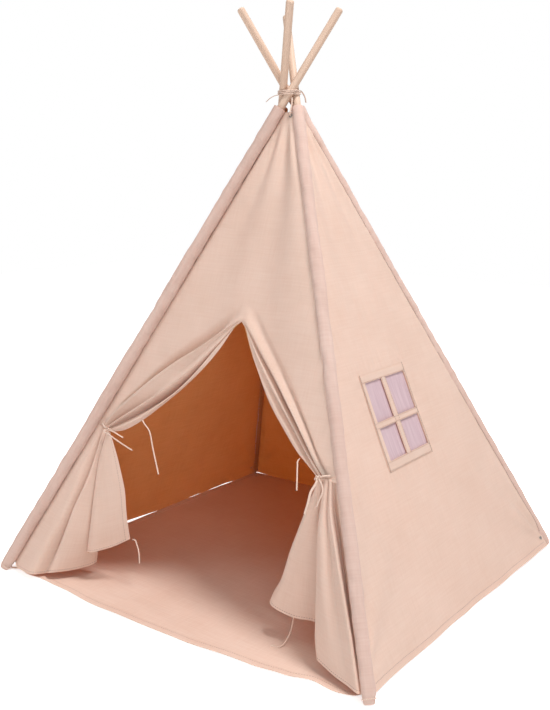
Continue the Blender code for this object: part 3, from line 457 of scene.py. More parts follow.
# Cords first: points along the routes of the CAD's cords
cordRoutes = {
    "lashing_tail_left": [
        (-0.0489, -0.0211, 1.3881), (-0.051, -0.0189, 1.388), (-0.0569, -0.0163, 1.3878),
        (-0.0632, -0.0156, 1.3868), (-0.0692, -0.0167, 1.3848), (-0.0747, -0.0188, 1.3821),
        (-0.0795, -0.0211, 1.3785), (-0.0835, -0.0237, 1.3741), (-0.0874, -0.0264, 1.3697)],
    "lashing_tail_right": [
        (0.0, 0.0183, 1.3999), (-0.0015, 0.0209, 1.4), (-0.0031, 0.0268, 1.3992), (-0.0032, 0.0324, 1.3966),
        (-0.0016, 0.0361, 1.3918), (0.0006, 0.0384, 1.3864), (0.0022, 0.0399, 1.3806),
        (0.0036, 0.0401, 1.3745), (0.005, 0.0402, 1.3684)],
    "tie_tail_left_long": [
        (-0.3624, -0.4141, 0.44), (-0.366, -0.4176, 0.4393), (-0.3587, -0.4258, 0.4373),
        (-0.3455, -0.4286, 0.4362), (-0.3322, -0.431, 0.4349), (-0.3192, -0.4342, 0.4328),
        (-0.3062, -0.4368, 0.4301), (-0.2931, -0.4388, 0.4272), (-0.2799, -0.4406, 0.4243),
        (-0.2668, -0.442, 0.4214), (-0.2536, -0.443, 0.4184), (-0.2404, -0.4438, 0.4153),
        (-0.2272, -0.4447, 0.4123)],
    "tie_tail_left_short": [
        (-0.3534, -0.4122, 0.4415), (-0.3508, -0.4136, 0.4418), (-0.344, -0.4174, 0.4431),
        (-0.3372, -0.4211, 0.4445), (-0.3301, -0.4244, 0.4456), (-0.3228, -0.4271, 0.4461),
        (-0.3152, -0.4291, 0.4456), (-0.3075, -0.4304, 0.4445), (-0.2998, -0.4312, 0.443),
        (-0.2922, -0.4314, 0.4411), (-0.2847, -0.431, 0.4388), (-0.2772, -0.4305, 0.4364)],
    "tie_tail_right_long": [
        (0.3725, -0.4033, 0.4426), (0.373, -0.4058, 0.4383), (0.3717, -0.413, 0.4286),
        (0.369, -0.4205, 0.4195), (0.3683, -0.4271, 0.4094), (0.3692, -0.4327, 0.3986),
        (0.3691, -0.4375, 0.3874), (0.3676, -0.4411, 0.3759), (0.3658, -0.4445, 0.3644)],
    "tie_tail_right_short": [
        (0.3767, -0.4026, 0.4447), (0.3791, -0.4037, 0.4432), (0.3855, -0.4072, 0.4392),
        (0.3915, -0.4111, 0.4349), (0.3967, -0.4155, 0.4301), (0.4003, -0.42, 0.4241),
        (0.4011, -0.4242, 0.417), (0.3998, -0.4279, 0.4096), (0.3981, -0.431, 0.402),
        (0.3961, -0.4331, 0.3942), (0.394, -0.435, 0.3863)],
    "closing_ribbon_left": [
        (-0.2491, -0.3805, 0.4825), (-0.2471, -0.3813, 0.4805), (-0.2413, -0.3834, 0.4759),
        (-0.2348, -0.3855, 0.4724), (-0.228, -0.3877, 0.4695), (-0.2212, -0.3898, 0.4667),
        (-0.2146, -0.3921, 0.4635), (-0.2086, -0.3944, 0.4593), (-0.2035, -0.3969, 0.4542),
        (-0.1989, -0.3994, 0.4485), (-0.1948, -0.4019, 0.4425), (-0.1909, -0.4044, 0.4364),
        (-0.1745, -0.4141, 0.4124), (-0.1575, -0.4233, 0.3884), (-0.1364, -0.4345, 0.3584)],
    "closing_ribbon_right": [
        (0.2991, -0.3749, 0.4746), (0.2969, -0.3757, 0.4726), (0.2969, -0.3817, 0.4683),
        (0.3012, -0.388, 0.4657), (0.3056, -0.394, 0.4627), (0.3088, -0.3991, 0.4575),
        (0.3118, -0.4033, 0.4513), (0.3146, -0.4072, 0.4449), (0.3172, -0.4109, 0.4383),
        (0.3195, -0.4143, 0.4314), (0.3216, -0.4175, 0.4243), (0.3237, -0.4206, 0.4172),
        (0.3259, -0.4238, 0.4102)],
    "hem_ribbon_left": [
        (-0.2611, -0.4196, 0.1317), (-0.2586, -0.4181, 0.1327), (-0.251, -0.418, 0.132),
        (-0.2445, -0.4209, 0.1284), (-0.2386, -0.424, 0.124), (-0.2329, -0.4263, 0.1189),
        (-0.2282, -0.4286, 0.1129), (-0.2243, -0.4306, 0.1062), (-0.2212, -0.4323, 0.0991),
        (-0.2196, -0.4335, 0.0913), (-0.2186, -0.4344, 0.0835), (-0.2175, -0.4353, 0.0756)],
    "hem_ribbon_right": [
        (0.291, -0.3885, 0.0987), (0.2939, -0.3878, 0.0981), (0.2998, -0.3877, 0.0934),
        (0.3021, -0.3895, 0.0862), (0.3027, -0.3921, 0.0789), (0.3029, -0.395, 0.0716),
        (0.3032, -0.3983, 0.0645), (0.3045, -0.4018, 0.0577), (0.3061, -0.4058, 0.0511),
        (0.3078, -0.4101, 0.0448), (0.3093, -0.4148, 0.0388), (0.3106, -0.42, 0.033),
        (0.3116, -0.4255, 0.0276), (0.3122, -0.4315, 0.0225), (0.3126, -0.4379, 0.0181),
        (0.3132, -0.4446, 0.0142), (0.3134, -0.4516, 0.0107), (0.3124, -0.4587, 0.0075),
        (0.3085, -0.465, 0.0052), (0.302, -0.4691, 0.0045), (0.2948, -0.4723, 0.0045),
        (0.2877, -0.4755, 0.0043)],
    "cover_cord": [
        (0.0043, -0.0323, 1.3301), (0.0044, -0.035, 1.3313), (0.0047, -0.0352, 1.3381),
        (0.005, -0.0331, 1.3452), (0.0051, -0.0306, 1.3521), (0.0049, -0.0278, 1.3589),
        (0.004, -0.0255, 1.3658), (0.0026, -0.0234, 1.3727), (0.0007, -0.0214, 1.3795)],
}
# body, diameter and length of each
cordFacts = {
    "lashing_tail_left": ("crossing", 0.003, 0.048),
    "lashing_tail_right": ("crossing", 0.003, 0.047),
    "tie_tail_left_long": ("stand_front_left", 0.005, 0.151),
    "tie_tail_left_short": ("stand_front_left", 0.003, 0.082),
    "tie_tail_right_long": ("stand_front_right", 0.005, 0.088),
    "tie_tail_right_short": ("stand_front_right", 0.003, 0.076),
    "closing_ribbon_left": ("stand_front_left", 0.003, 0.180),
    "closing_ribbon_right": ("stand_front_right", 0.003, 0.090),
    "hem_ribbon_left": ("door_flap_left", 0.003, 0.082),
    "hem_ribbon_right": ("door_flap_right", 0.003, 0.159),
    "cover_cord": ("crossing", 0.003, 0.053),
}

# a tape's width and thickness as shares of its diameter, and the steps along it
tapeShape = {"across": 1.3, "thick": 0.76, "boundThick": 0.8, "step": 0.0022, "leastSteps": 24,
             "boundSteps": 150}


def gather(piece):
    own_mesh(piece)


for name, places in cordRoutes.items():
    body, diameter, length = cordFacts[name]
    route = smoothLine(places, max(tapeShape["leastSteps"], round(length / tapeShape["step"])))
    piece = sweptCord(name + "_tape", route, diameter * tapeShape["across"], diameter * tapeShape["thick"])
    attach(piece, body)
    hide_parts(name)
    if name.startswith("closing"):
        gather(piece)

# Bands and the lashing, thinned from the points of the CAD's own turns, then the corner ties
boundRoutes = {
    "tie_band_left": [
        (-0.3543, -0.4051, 0.4373), (-0.3539, -0.3989, 0.4345), (-0.3574, -0.3927, 0.4335),
        (-0.3641, -0.3877, 0.4344), (-0.3726, -0.3849, 0.437), (-0.3811, -0.3848, 0.4408),
        (-0.388, -0.3876, 0.445), (-0.3919, -0.3926, 0.4488), (-0.392, -0.3988, 0.4514),
        (-0.3882, -0.405, 0.4523), (-0.3813, -0.4099, 0.4513), (-0.3728, -0.4125, 0.4486),
        (-0.3643, -0.4123, 0.4447)],
    "tie_band_right": [
        (0.366, -0.3995, 0.4444), (0.3599, -0.3958, 0.4401), (0.3574, -0.39, 0.4366),
        (0.3591, -0.3834, 0.4348), (0.3645, -0.3774, 0.4348), (0.3726, -0.3733, 0.4369),
        (0.3815, -0.3719, 0.4404), (0.3894, -0.3736, 0.4447), (0.3946, -0.378, 0.4488),
        (0.396, -0.3841, 0.4519), (0.3932, -0.3907, 0.4533), (0.3869, -0.3963, 0.4527),
        (0.3785, -0.3998, 0.4502)],
    "lashing_cord": [
        (-0.0487, -0.0213, 1.3881), (-0.0396, -0.0289, 1.3885), (-0.0161, -0.035, 1.3887),
        (-0.0083, -0.0338, 1.3891), (0.001, -0.0264, 1.3895), (0.0033, -0.0225, 1.3897),
        (0.0078, 0.0028, 1.3899), (0.0067, 0.0104, 1.3903), (-0.0009, 0.0194, 1.3907),
        (-0.0049, 0.0217, 1.3909), (-0.0177, 0.024, 1.3911), (-0.0316, 0.0248, 1.3913),
        (-0.0395, 0.0214, 1.3917), (-0.0449, 0.0162, 1.3918), (-0.0485, 0.0069, 1.3922),
        (-0.0501, -0.0154, 1.3924), (-0.0467, -0.0233, 1.3928), (-0.0376, -0.0309, 1.3932),
        (-0.0337, -0.0321, 1.3934), (-0.0102, -0.033, 1.3936), (-0.0022, -0.0296, 1.394),
        (0.0031, -0.0244, 1.3942), (0.0066, -0.0167, 1.3946), (0.0056, 0.0084, 1.3948),
        (0.0023, 0.0161, 1.3952), (-0.007, 0.0236, 1.3956), (-0.0111, 0.0248, 1.3958),
        (-0.0337, 0.0228, 1.396), (-0.0416, 0.0194, 1.3964), (-0.0469, 0.0142, 1.3965),
        (-0.0504, 0.0065, 1.3969), (-0.0481, -0.0175, 1.3971), (-0.0447, -0.0254, 1.3975),
        (-0.0357, -0.033, 1.3979), (-0.0317, -0.0341, 1.3981), (-0.0208, -0.0333, 1.3983),
        (-0.004, -0.0299, 1.3985), (0.0052, -0.0225, 1.3989), (0.0086, -0.0148, 1.3993),
        (0.0088, -0.0111, 1.3995), (0.0024, 0.0142, 1.3997), (0.0001, 0.018, 1.3999)],
}
# body and width of each
boundFacts = {
    "tie_band_left": ("stand_front_left", 0.0052), "tie_band_right": ("stand_front_right", 0.0052),
    "lashing_cord": ("crossing", 0.0042),
}
for name, places in boundRoutes.items():
    body, width = boundFacts[name]
    route = smoothLine(places, tapeShape["boundSteps"])
    piece = sweptCord(name + "_tape", route, width, width * tapeShape["boundThick"])
    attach(piece, body)
    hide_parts(name)

cornerTie = {"width": 0.003, "depth": 0.0026, "loopRadius": 0.0168, "rise": 0.010, "startDegrees": 12,
             "turnDegrees": 336, "steps": 20, "samples": 90, "cornerHeight": 0.0035, "spacing": 0.003,
             "lowest": 0.0045, "sink": 0.8, "clear": 0.0006,
             "sheetCorners": {"front_left": (-0.5764, -0.5537), "front_right": (0.5754, -0.5084),
                              "back_right": (0.5259, 0.5545), "back_left": (-0.5739, 0.5484)}}


def cornerTieRoute(poleName):
    # once round the sleeve's foot, both ends drawn to the floor sheet's corner
    pole = poles[poleName]
    centre = pole["cross"] + pole["up"] * (poleReach["bottom"] + cornerTie["rise"])
    inward = pole["up"].cross(pole["side"])
    foot = pole["cross"] + pole["up"] * poleReach["bottom"]
    if inward.dot(-foot) < 0:
        inward = -inward
    across = pole["up"].cross(inward)
    corner = Vector((*cornerTie["sheetCorners"][poleName], cornerTie["cornerHeight"]))
    loop = [centre + (inward * math.cos(a) + across * math.sin(a)) * cornerTie["loopRadius"]
            for a in (math.radians(
                cornerTie["startDegrees"] + cornerTie["turnDegrees"] * k / cornerTie["steps"])
                for k in range(cornerTie["steps"] + 1))]
    flat = across * cornerTie["spacing"]
    flat.z = 0.0
    lead = loop[0].lerp(corner + flat, 0.5)
    tail = loop[-1].lerp(corner - flat, 0.5)
    lead.z = max(cornerTie["lowest"], lead.z * cornerTie["sink"])
    tail.z = max(cornerTie["lowest"], tail.z * cornerTie["sink"])
    route = [corner + flat, lead] + loop + [tail, corner - flat]
    return [Vector((p.x, p.y, max(p.z, cornerTie["width"] / 2 + cornerTie["clear"]))) for p in route]


for poleName in poles:
    piece = sweptCord("corner_tie_tape_" + poleName,
                      smoothLine(cornerTieRoute(poleName), cornerTie["samples"]),
                      cornerTie["width"], cornerTie["depth"])
    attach(piece, "stand_" + poleName)
    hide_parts("corner_tie_" + poleName)

# Knots: one small overhand knot of tape at each tie
knots = {
    "left": {"middle": (-0.3580, -0.4097, 0.4408), "x": (0.6947, 0.5003, -0.5169),
             "y": (-0.6108, 0.7897, -0.0565), "z": (0.3799, 0.355, 0.8542)},
    "right": {"middle": (0.3719, -0.4005, 0.4475), "x": (-0.9066, 0.0163, -0.4216),
              "y": (-0.1584, -0.9393, 0.3043), "z": (-0.3911, 0.3426, 0.8542)},
}
knotShape = {"tape": 0.0045, "across": 0.0054, "tall": 0.0044, "deep": 0.0028, "steps": 96, "closed": 0.985}


def knotRoute(knot):
    # an overhand knot's trefoil, flattened to the knot's own size
    middle = Vector(knot["middle"])
    x, y, z = Vector(knot["x"]), Vector(knot["y"]), Vector(knot["z"])
    line = []
    for k in range(knotShape["steps"] + 1):
        t = 2 * math.pi * (k / knotShape["steps"]) * knotShape["closed"]
        a = (math.sin(t) + 2 * math.sin(2 * t)) / 3
        b = (math.cos(t) - 2 * math.cos(2 * t)) / 3
        c = -math.sin(3 * t)
        line.append(middle + x * (a * knotShape["across"]) + z * (b * knotShape["tall"])
                    + y * (c * knotShape["deep"]))
    return line


for side, knot in knots.items():
    piece = sweptCord("tie_knot_tape_" + side, knotRoute(knot), knotShape["tape"], knotShape["tape"] * 0.8)
    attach(piece, "stand_front_" + side)
    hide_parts("tie_knot_" + side)
print("teepee: cords, bands and knots ready")


# The cover's sides
windowFrame = {
    "along": [-0.1535, -0.1350, -0.042, -0.028, -0.019, 0.0840, 0.0905],
    "up": [0.443, 0.469, 0.559, 0.576, 0.686, 0.708],
    "split": -0.028,
    "lift": 0.0016,  # the sewn frame stands this far out of the wall
    "sheerDrop": 0.0012,
    "standOff": 0.0012,
    "bandCell": 0.0045, "bandThickness": 0.0012,
    "voileCell": 0.006, "voileThickness": 0.0006,
}
folds = {
    "sag": 0.008, "rays": 0.0075, "rayCount": 2.6, "pucker": 0.0016, "broad": 0.0055, "fine": 0.0007,
    "hemWave": 0.0045, "hemBand": 0.017, "hemStep": 0.0009, "windowPucker": 0.0017, "drape": 0.0044,
    "hemHang": 0.020, "hemUneven": 0.005,
    "groove": 0.0025, "hemReach": 0.0270, "hemDown": {"back": (0.20, 0.30), "left": (-0.40, -0.50)},
    "footRays": 0.0070, "footRayCount": 9.0,
}
wallSeeds = {"front": 3.1, "right": 7.7, "back": 12.3, "left": 18.9}


def wallOut(name, along, height):
    # how far the cloth stands out of its flat plane: sag, folds from the top, puckers beside the sleeves, hem
    wall, seed = walls[name], wallSeeds[name]
    left, right = edgeAt(name, "left", height), edgeAt(name, "right", height)
    width = max(1e-6, right - left)
    share = min(1.0, max(0.0, (along - left) / width))
    edge = min(share, 1 - share) * width
    drop = wall["top"] - height
    free = ramp(edge / 0.05)
    out = -folds["sag"] * math.sin(math.pi * share) * ramp(drop / 0.5)
    wander = noise.noise(Vector((height * 2.2, seed, 0.0)))
    out += (folds["rays"] * math.exp(-drop / 0.5)
            * math.sin(2 * math.pi * (share * folds["rayCount"] + wander * 0.4 + seed))
            * ramp(edge / 0.02) * ramp((drop - 0.02) / 0.09))
    out += folds["broad"] * noise.noise(Vector((along * 3.0, height * 2.4, seed))) * free
    out += (folds["drape"] * noise.noise(Vector((along * 11.0, height * 2.0, seed + 4)))
            * free * ramp((0.9 - height) / 0.5))
    out += folds["fine"] * noise.noise(Vector((along * 21.0, height * 21.0, seed))) * ramp(edge / 0.02)
    lean = along * 16.0 + height * (34.0 if share < 0.5 else -34.0)
    out += (folds["pucker"] * math.exp(-edge / 0.03)
            * noise.noise(Vector((lean, height * 46.0, seed))) * ramp(edge / 0.008))
    out -= folds["groove"] * math.exp(-edge / 0.006)
    hem = height - cover["hem"]
    reach = math.hypot(edge, max(0.0, hem) * 0.55)
    lean = math.atan2(max(0.0, hem), edge * 1.6 + 1e-6)
    out += (folds["footRays"] * math.sin(lean * folds["footRayCount"] + seed)
            * math.exp(-reach / 0.16) * ramp(reach / 0.05) * ramp(lean / 0.3))
    out += (folds["hemWave"] * math.exp(-max(0.0, hem) / 0.10)
            * noise.noise(Vector((along * 7.0, seed, 2.0))) * free)
    out += folds["hemStep"] * (1 - ramp((hem - folds["hemBand"]) / 0.004))
    if name == "right":
        out += windowPuckers(along, height, seed)
    return out


def windowPuckers(along, height, seed):
    beside = max(windowFrame["along"][0] - along, along - windowFrame["along"][-1], 0.0)
    above = max(windowFrame["up"][0] - height, height - windowFrame["up"][-1], 0.0)
    away = math.hypot(beside, above)
    if away > 0.14:
        return 0.0
    strength = folds["windowPucker"] * math.exp(-away / 0.035) * ramp(away / 0.006)
    if beside > above:
        return strength * math.sin(
            2 * math.pi * height / 0.034 + 3 * noise.noise(Vector((height * 9, seed, 0)))) * 0.8
    return strength * math.sin(2 * math.pi * along / 0.03 + 3 * noise.noise(Vector((along * 9, seed, 0))))


def hemDrop(name, along, height):
    # the hem hangs a little unevenly; the change fades out in the first 150 mm
    fade = 1 - ramp((height - cover["hem"]) / 0.15)
    wave = noise.noise(Vector((along * 4.5, wallSeeds[name], 9.0)))
    start, end = folds["hemDown"].get(name, (9.0, 10.0))
    down = ramp((along - start) / (end - start))
    return -mix(folds["hemHang"] + folds["hemUneven"] * wave, folds["hemReach"], down) * fade


def spread(values, counts):
    # values subdivided evenly, counts steps between neighbours
    line = [values[0]]
    for a, b, count in zip(values, values[1:], counts):
        line += [mix(a, b, (k + 1) / count) for k in range(count)]
    return line


def guideAt(guide, height):
    for (h0, a0), (h1, a1) in zip(guide, guide[1:]):
        if height <= h1 + 1e-9:
            return mix(a0, a1, (height - h0) / (h1 - h0))
    return guide[-1][1]


cloths = {}  # each cloth's grid of points, for the stitches that follow it


def sideWall(name, guides, columns, levels, rows, opening=None):
    # guides run up the side; the middle one is the line on which the side is cut for folding
    leftPole, rightPole = walls[name]["poles"]
    heights = spread(levels, rows)
    points, uvs, width = [], [], sum(columns) + 1
    for height in heights:
        ends = [edgeAt(name, which, height + hemDrop(name, edgeAt(name, which, height), height))
                for which in ("left", "right")]
        marks = ends[:1] + [guideAt(g, height) for g in guides] + ends[1:]
        for along in spread(marks, columns):
            lifted = height + hemDrop(name, along, height)
            points.append(onWall(name, along, lifted, wallOut(name, along, lifted)))
            uvs.append((along, lifted))
    middle = sum(columns[: (len(columns) + 1) // 2])
    cloths["wall_" + name] = {"grid": [points[r * width:(r + 1) * width] for r in range(len(heights))],
                              "middle": middle, "turn": 1}
    faces, halves = [], {leftPole: [], rightPole: []}
    for i in range(len(heights) - 1):
        for j in range(width - 1):
            if opening and opening(i, j):
                continue
            halves[leftPole if j < middle else rightPole].append(len(faces))
            a = i * width + j
            faces.append((a, a + 1, a + width + 1, a + width))
    made = clothParts(points, faces, uvs, {f"wall_{name}_at_{p}": halves[p] for p in halves},
                      cover["thickness"], [canvas, canvasInsidePaintedShade])
    for poleName in halves:
        piece = made[f"wall_{name}_at_{poleName}"]
        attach(piece, "stand_" + poleName)
        gather(piece)
    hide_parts("wall_" + name)
    return made


for name in ("back", "left"):
    hemMiddle = (walls[name]["left"][0] + walls[name]["right"][0]) / 2
    topMiddle = (walls[name]["left"][1] + walls[name]["right"][1]) / 2
    middleGuide = [(cover["hem"], hemMiddle), (walls[name]["top"], topMiddle)]
    sideWall(name, [middleGuide], [44, 44], [cover["hem"], 0.06, walls[name]["top"]], [6, 120])

windowGuides = [
    [(cover["hem"], a0), (windowFrame["up"][1], a1), (windowFrame["up"][4], a1), (walls["right"]["top"], a2)]
    for a0, a1, a2 in ((-0.16, windowFrame["along"][1], -0.0045), (-0.03, windowFrame["split"], 0.0019),
                       (0.09, windowFrame["along"][5], 0.0075))]
rightColumns = [48, 14, 14, 52]
rightLevels = [cover["hem"], 0.06, windowFrame["up"][1], windowFrame["up"][4], walls["right"]["top"]]
rightRows = [6, 46, 28, 84]


def windowOpening(i, j):
    inRows = sum(rightRows[:2]) <= i < sum(rightRows[:3])
    return inRows and rightColumns[0] <= j < sum(rightColumns[:3])


sideWall("right", windowGuides, rightColumns, rightLevels, rightRows, windowOpening)
print("teepee: side walls ready")


# Window: the sewn frame with its bars, and one sheer piece inside
def windowGrid(cell, outAt, skip=None):
    alongs = windowFrame["along"]
    ups = windowFrame["up"]
    lines = spread(alongs, [max(2, round((b - a) / cell)) for a, b in zip(alongs, alongs[1:])])
    levels = spread(ups, [max(2, round((b - a) / cell)) for a, b in zip(ups, ups[1:])])
    points, uvs = [], []
    for height in levels:
        for along in lines:
            points.append(onWall("right", along, height, outAt(along, height)))
            uvs.append((along, height))
    faces, halves = [], {"front_right": [], "back_right": []}
    for i in range(len(levels) - 1):
        for j in range(len(lines) - 1):
            centre = ((lines[j] + lines[j + 1]) / 2, (levels[i] + levels[i + 1]) / 2)
            if skip and skip(*centre):
                continue
            halves["front_right" if centre[0] < windowFrame["split"] else "back_right"].append(len(faces))
            a = i * len(lines) + j
            faces.append((a, a + 1, a + len(lines) + 1, a + len(lines)))
    return points, faces, uvs, halves


def inPane(along, height):
    a, u = windowFrame["along"], windowFrame["up"]
    return (a[1] < along < a[2] or a[4] < along < a[5]) and (u[1] < height < u[2] or u[3] < height < u[4])


def frameOut(along, height):
    # the frame's outer edges are pressed to the wall, its middle is padded by the folded cloth
    a, u = windowFrame["along"], windowFrame["up"]
    inside = min(along - a[0], a[-1] - along, height - u[0], u[-1] - height)
    return (wallOut("right", along, height) + windowFrame["lift"] * (0.45 + 0.55 * ramp(inside / 0.004))
            + windowFrame["standOff"])


def sheerOut(along, height):
    wave = noise.noise(Vector((along * 42.0, height * 2.5, 5.0)))
    a, u = windowFrame["along"], windowFrame["up"]
    inside = ramp(min(along - a[1], a[5] - along, height - u[1], u[4] - height) / 0.03)
    return (wallOut("right", along, height) - windowFrame["sheerDrop"]
            + 0.0020 * wave * inside - 0.0010 * inside)


def addWindow():
    points, faces, uvs, halves = windowGrid(windowFrame["bandCell"], frameOut, inPane)
    frames = clothParts(points, faces, uvs, {f"window_band_at_{p}": halves[p] for p in halves},
                        windowFrame["bandThickness"], [canvas, canvasInsidePaintedShade])
    points, faces, uvs, halves = windowGrid(windowFrame["voileCell"], sheerOut)
    sheers = clothParts(points, faces, uvs, {f"window_voile_at_{p}": halves[p] for p in halves},
                        windowFrame["voileThickness"], [voile, voile])
    for poleName in halves:
        for piece, slot in ((frames[f"window_band_at_{poleName}"], "canvas"),
                            (sheers[f"window_voile_at_{poleName}"], "sheer_mesh")):
            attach(piece, "stand_" + poleName)
            gather(piece)
    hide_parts("window_frame")
    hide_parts("window_sheer")


addWindow()
print("teepee: window ready")

# Door cloths: each half of the front panel, in one piece with the folds drawn to its tie
doorCloths = {
    # each fold line runs from the tie to the slit's peak: (along, up, out) in the front plane
    "left": {
        "seam": (0.492, 0.472), "creaseDepth": 2.0, "dip": 0.019, "dipTie": 0.8, "dipPlace": 0.030,
        "dipWidth": 0.019, "crestWidth": 0.012,
        "lines": [
            [(-0.384, 0.479, 0.004), (-0.353, 0.529, 0.007), (-0.305, 0.574, 0.010), (-0.237, 0.637, 0.013),
             (-0.168, 0.695, 0.013), (-0.095, 0.750, 0.011), (-0.035, 0.802, 0.007), (0.004, 0.836, 0.003),
             (0.018, 0.842, 0.0)],
            [(-0.380, 0.4755, 0.0), (-0.343, 0.511, -0.009), (-0.296, 0.548, -0.009),
             (-0.240, 0.590, -0.003), (-0.186, 0.637, 0.003), (-0.123, 0.704, 0.001),
             (-0.055, 0.776, 0.002), (0.001, 0.833, 0.001), (0.018, 0.841, 0.0)],
            [(-0.376, 0.474, 0.003), (-0.341, 0.503, 0.005), (-0.280, 0.545, 0.008), (-0.216, 0.591, 0.009),
             (-0.162, 0.634, 0.009), (-0.110, 0.687, 0.007), (-0.054, 0.755, 0.004), (0.003, 0.831, 0.001),
             (0.018, 0.840, 0.0)],
            [(-0.373, 0.4730, -0.002), (-0.339, 0.5000, -0.009), (-0.283, 0.5400, -0.014),
             (-0.219, 0.5865, -0.017), (-0.1655, 0.6310, -0.016), (-0.110, 0.6860, -0.009),
             (-0.052, 0.758, -0.003), (0.005, 0.830, 0.0), (0.018, 0.839, 0.0)],
            [(-0.362, 0.470, 0.002), (-0.322, 0.489, 0.002), (-0.264, 0.523, 0.003), (-0.202, 0.570, 0.003),
             (-0.144, 0.622, 0.002), (-0.090, 0.687, 0.002), (-0.041, 0.762, 0.001), (0.007, 0.829, 0.0),
             (0.018, 0.8385, 0.0)],
            [(-0.356, 0.469, -0.003), (-0.310, 0.483, -0.004), (-0.251, 0.521, -0.003),
             (-0.190, 0.574, -0.002), (-0.129, 0.632, -0.001), (-0.075, 0.694, 0.0), (-0.033, 0.757, 0.0),
             (0.003, 0.829, 0.0), (0.018, 0.838, 0.0)],
        ],
        "sharp": [True, False, False, True, False, False], "rows": [6, 5, 5, 5, 6],
    },
    "right": {
        "seam": (0.492, 0.474), "creaseDepth": 1.0, "dip": 0.006, "dipTie": 3.2, "dipPlace": 0.036,
        "dipWidth": 0.018, "crestWidth": 0.021,
        "lines": [
            [(0.388, 0.480, 0.004), (0.358, 0.506, 0.007), (0.321, 0.547, 0.009), (0.273, 0.599, 0.009),
             (0.225, 0.649, 0.008), (0.173, 0.702, 0.006), (0.110, 0.762, 0.004), (0.035, 0.834, 0.002),
             (0.018, 0.842, 0.0)],
            [(0.383, 0.478, -0.002), (0.352, 0.504, -0.008), (0.314, 0.544, -0.013), (0.265, 0.595, -0.015),
             (0.217, 0.642, -0.015), (0.167, 0.694, -0.013), (0.106, 0.754, -0.009), (0.033, 0.832, -0.001),
             (0.018, 0.841, 0.0)],
            [(0.379, 0.477, 0.002), (0.354, 0.501, 0.002), (0.314, 0.537, 0.004), (0.268, 0.584, 0.005),
             (0.219, 0.632, 0.006), (0.167, 0.683, 0.005), (0.103, 0.749, 0.003), (0.031, 0.831, 0.0),
             (0.018, 0.840, 0.0)],
            [(0.374, 0.475, -0.001), (0.347, 0.495, -0.005), (0.306, 0.534, -0.008), (0.253, 0.586, -0.009),
             (0.204, 0.633, -0.008), (0.154, 0.683, -0.004), (0.094, 0.749, -0.001), (0.030, 0.830, 0.0),
             (0.018, 0.839, 0.0)],
            [(0.372, 0.475, 0.001), (0.345, 0.493, 0.001), (0.301, 0.527, 0.002), (0.246, 0.577, 0.002),
             (0.191, 0.629, 0.002), (0.139, 0.684, 0.001), (0.081, 0.753, 0.0), (0.029, 0.829, 0.0),
             (0.018, 0.8385, 0.0)],
            [(0.368, 0.474, -0.002), (0.339, 0.494, -0.003), (0.291, 0.526, -0.002), (0.234, 0.576, -0.001),
             (0.174, 0.634, 0.0), (0.121, 0.699, 0.0), (0.068, 0.772, 0.0), (0.031, 0.830, 0.0),
             (0.018, 0.838, 0.0)],
        ],
        "sharp": [False, True, False, True, False, False], "rows": [8, 4, 4, 5, 6],
    },
}
doorShape = {"foldHeight": 1.35, "columns": 92, "panelRows": 92, "tieShare": 0.07, "splitTop": 0.002}


def foldBetween(marks, sharp, rows):
    # points across the fold lines at one station; a sharp line is a crease, the others are rounded
    across = []
    for k in range(len(marks) - 1):
        b, c = marks[k], marks[k + 1]
        a, d = marks[max(k - 1, 0)], marks[min(k + 2, len(marks) - 1)]
        before = c - b if sharp[k] or k == 0 else (c - a) * 0.5
        after = c - b if sharp[k + 1] or k == len(marks) - 2 else (d - b) * 0.5
        for i in range(rows[k]):
            f = i / rows[k]
            across.append(b * (2 * f**3 - 3 * f**2 + 1) + before * (f**3 - 2 * f**2 + f)
                          + c * (3 * f**2 - 2 * f**3) + after * (f**3 - f**2))
    return across + [marks[-1]]


def doorStations(side):
    # each fold line from the sleeve's seam through the tie to the slit's peak
    cloth = doorCloths[side]
    high, low = cloth["seam"]
    columns, stations = doorShape["columns"], []
    lines = [smoothLine(line, 121) for line in cloth["lines"]]
    starts = [Vector((edgeAt("front", side, h), h, 0.0))
              for h in (mix(high, low, k / (len(lines) - 1)) for k in range(len(lines)))]
    for j in range(columns + 1):
        share = j / columns
        marks = []
        for start, line in zip(starts, lines):
            if share < doorShape["tieShare"]:
                marks.append(start.lerp(line[0], ramp(share / doorShape["tieShare"])))
            else:
                place = (share - doorShape["tieShare"]) / (1 - doorShape["tieShare"]) * (len(line) - 1)
                k = min(int(place), len(line) - 2)
                marks.append(line[k].lerp(line[k + 1], place - k))
        for mark in marks:
            mark.z *= doorShape["foldHeight"] if mark.z > 0 else cloth["creaseDepth"]
        stations.append(marks)
    return stations


def doorPanel(side, share, crest, drop):
    # the panel above the crest: share runs from sleeve to slit, drop from the panel's top (0) to the
    # crest (1)
    cloth = doorCloths[side]
    top, seamHigh = walls["front"]["top"], cloth["seam"][0]
    start = mix(edgeAt("front", side, top), doorShape["splitTop"], share)
    flat = Vector((start, top)).lerp(Vector((crest.x, crest.y)), drop)
    height = mix(top, seamHigh, drop)
    if share < 0.03:
        flat = Vector((edgeAt("front", side, height), height)).lerp(flat, ramp(share / 0.03))
    distance = (Vector((crest.x, crest.y)) - flat).length
    near = ramp(share / 0.5)
    inward = ramp(share / 0.10) * ramp((1 - share) / 0.22)
    place, width = cloth["dipPlace"] * mix(0.3, 1.0, near), cloth["dipWidth"] * mix(0.4, 1.0, near)
    lift = crest.z * math.exp(-(distance / cloth["crestWidth"]) ** 2)
    deep = cloth["dip"] * mix(cloth["dipTie"], 1.0, ramp(share / 0.7))
    dip = -deep * inward * math.exp(-((distance - place) / width) ** 2)
    own = wallOut("front", flat.x, flat.y) * ramp(distance / 0.05)
    return Vector((flat.x, flat.y, lift + dip + own))


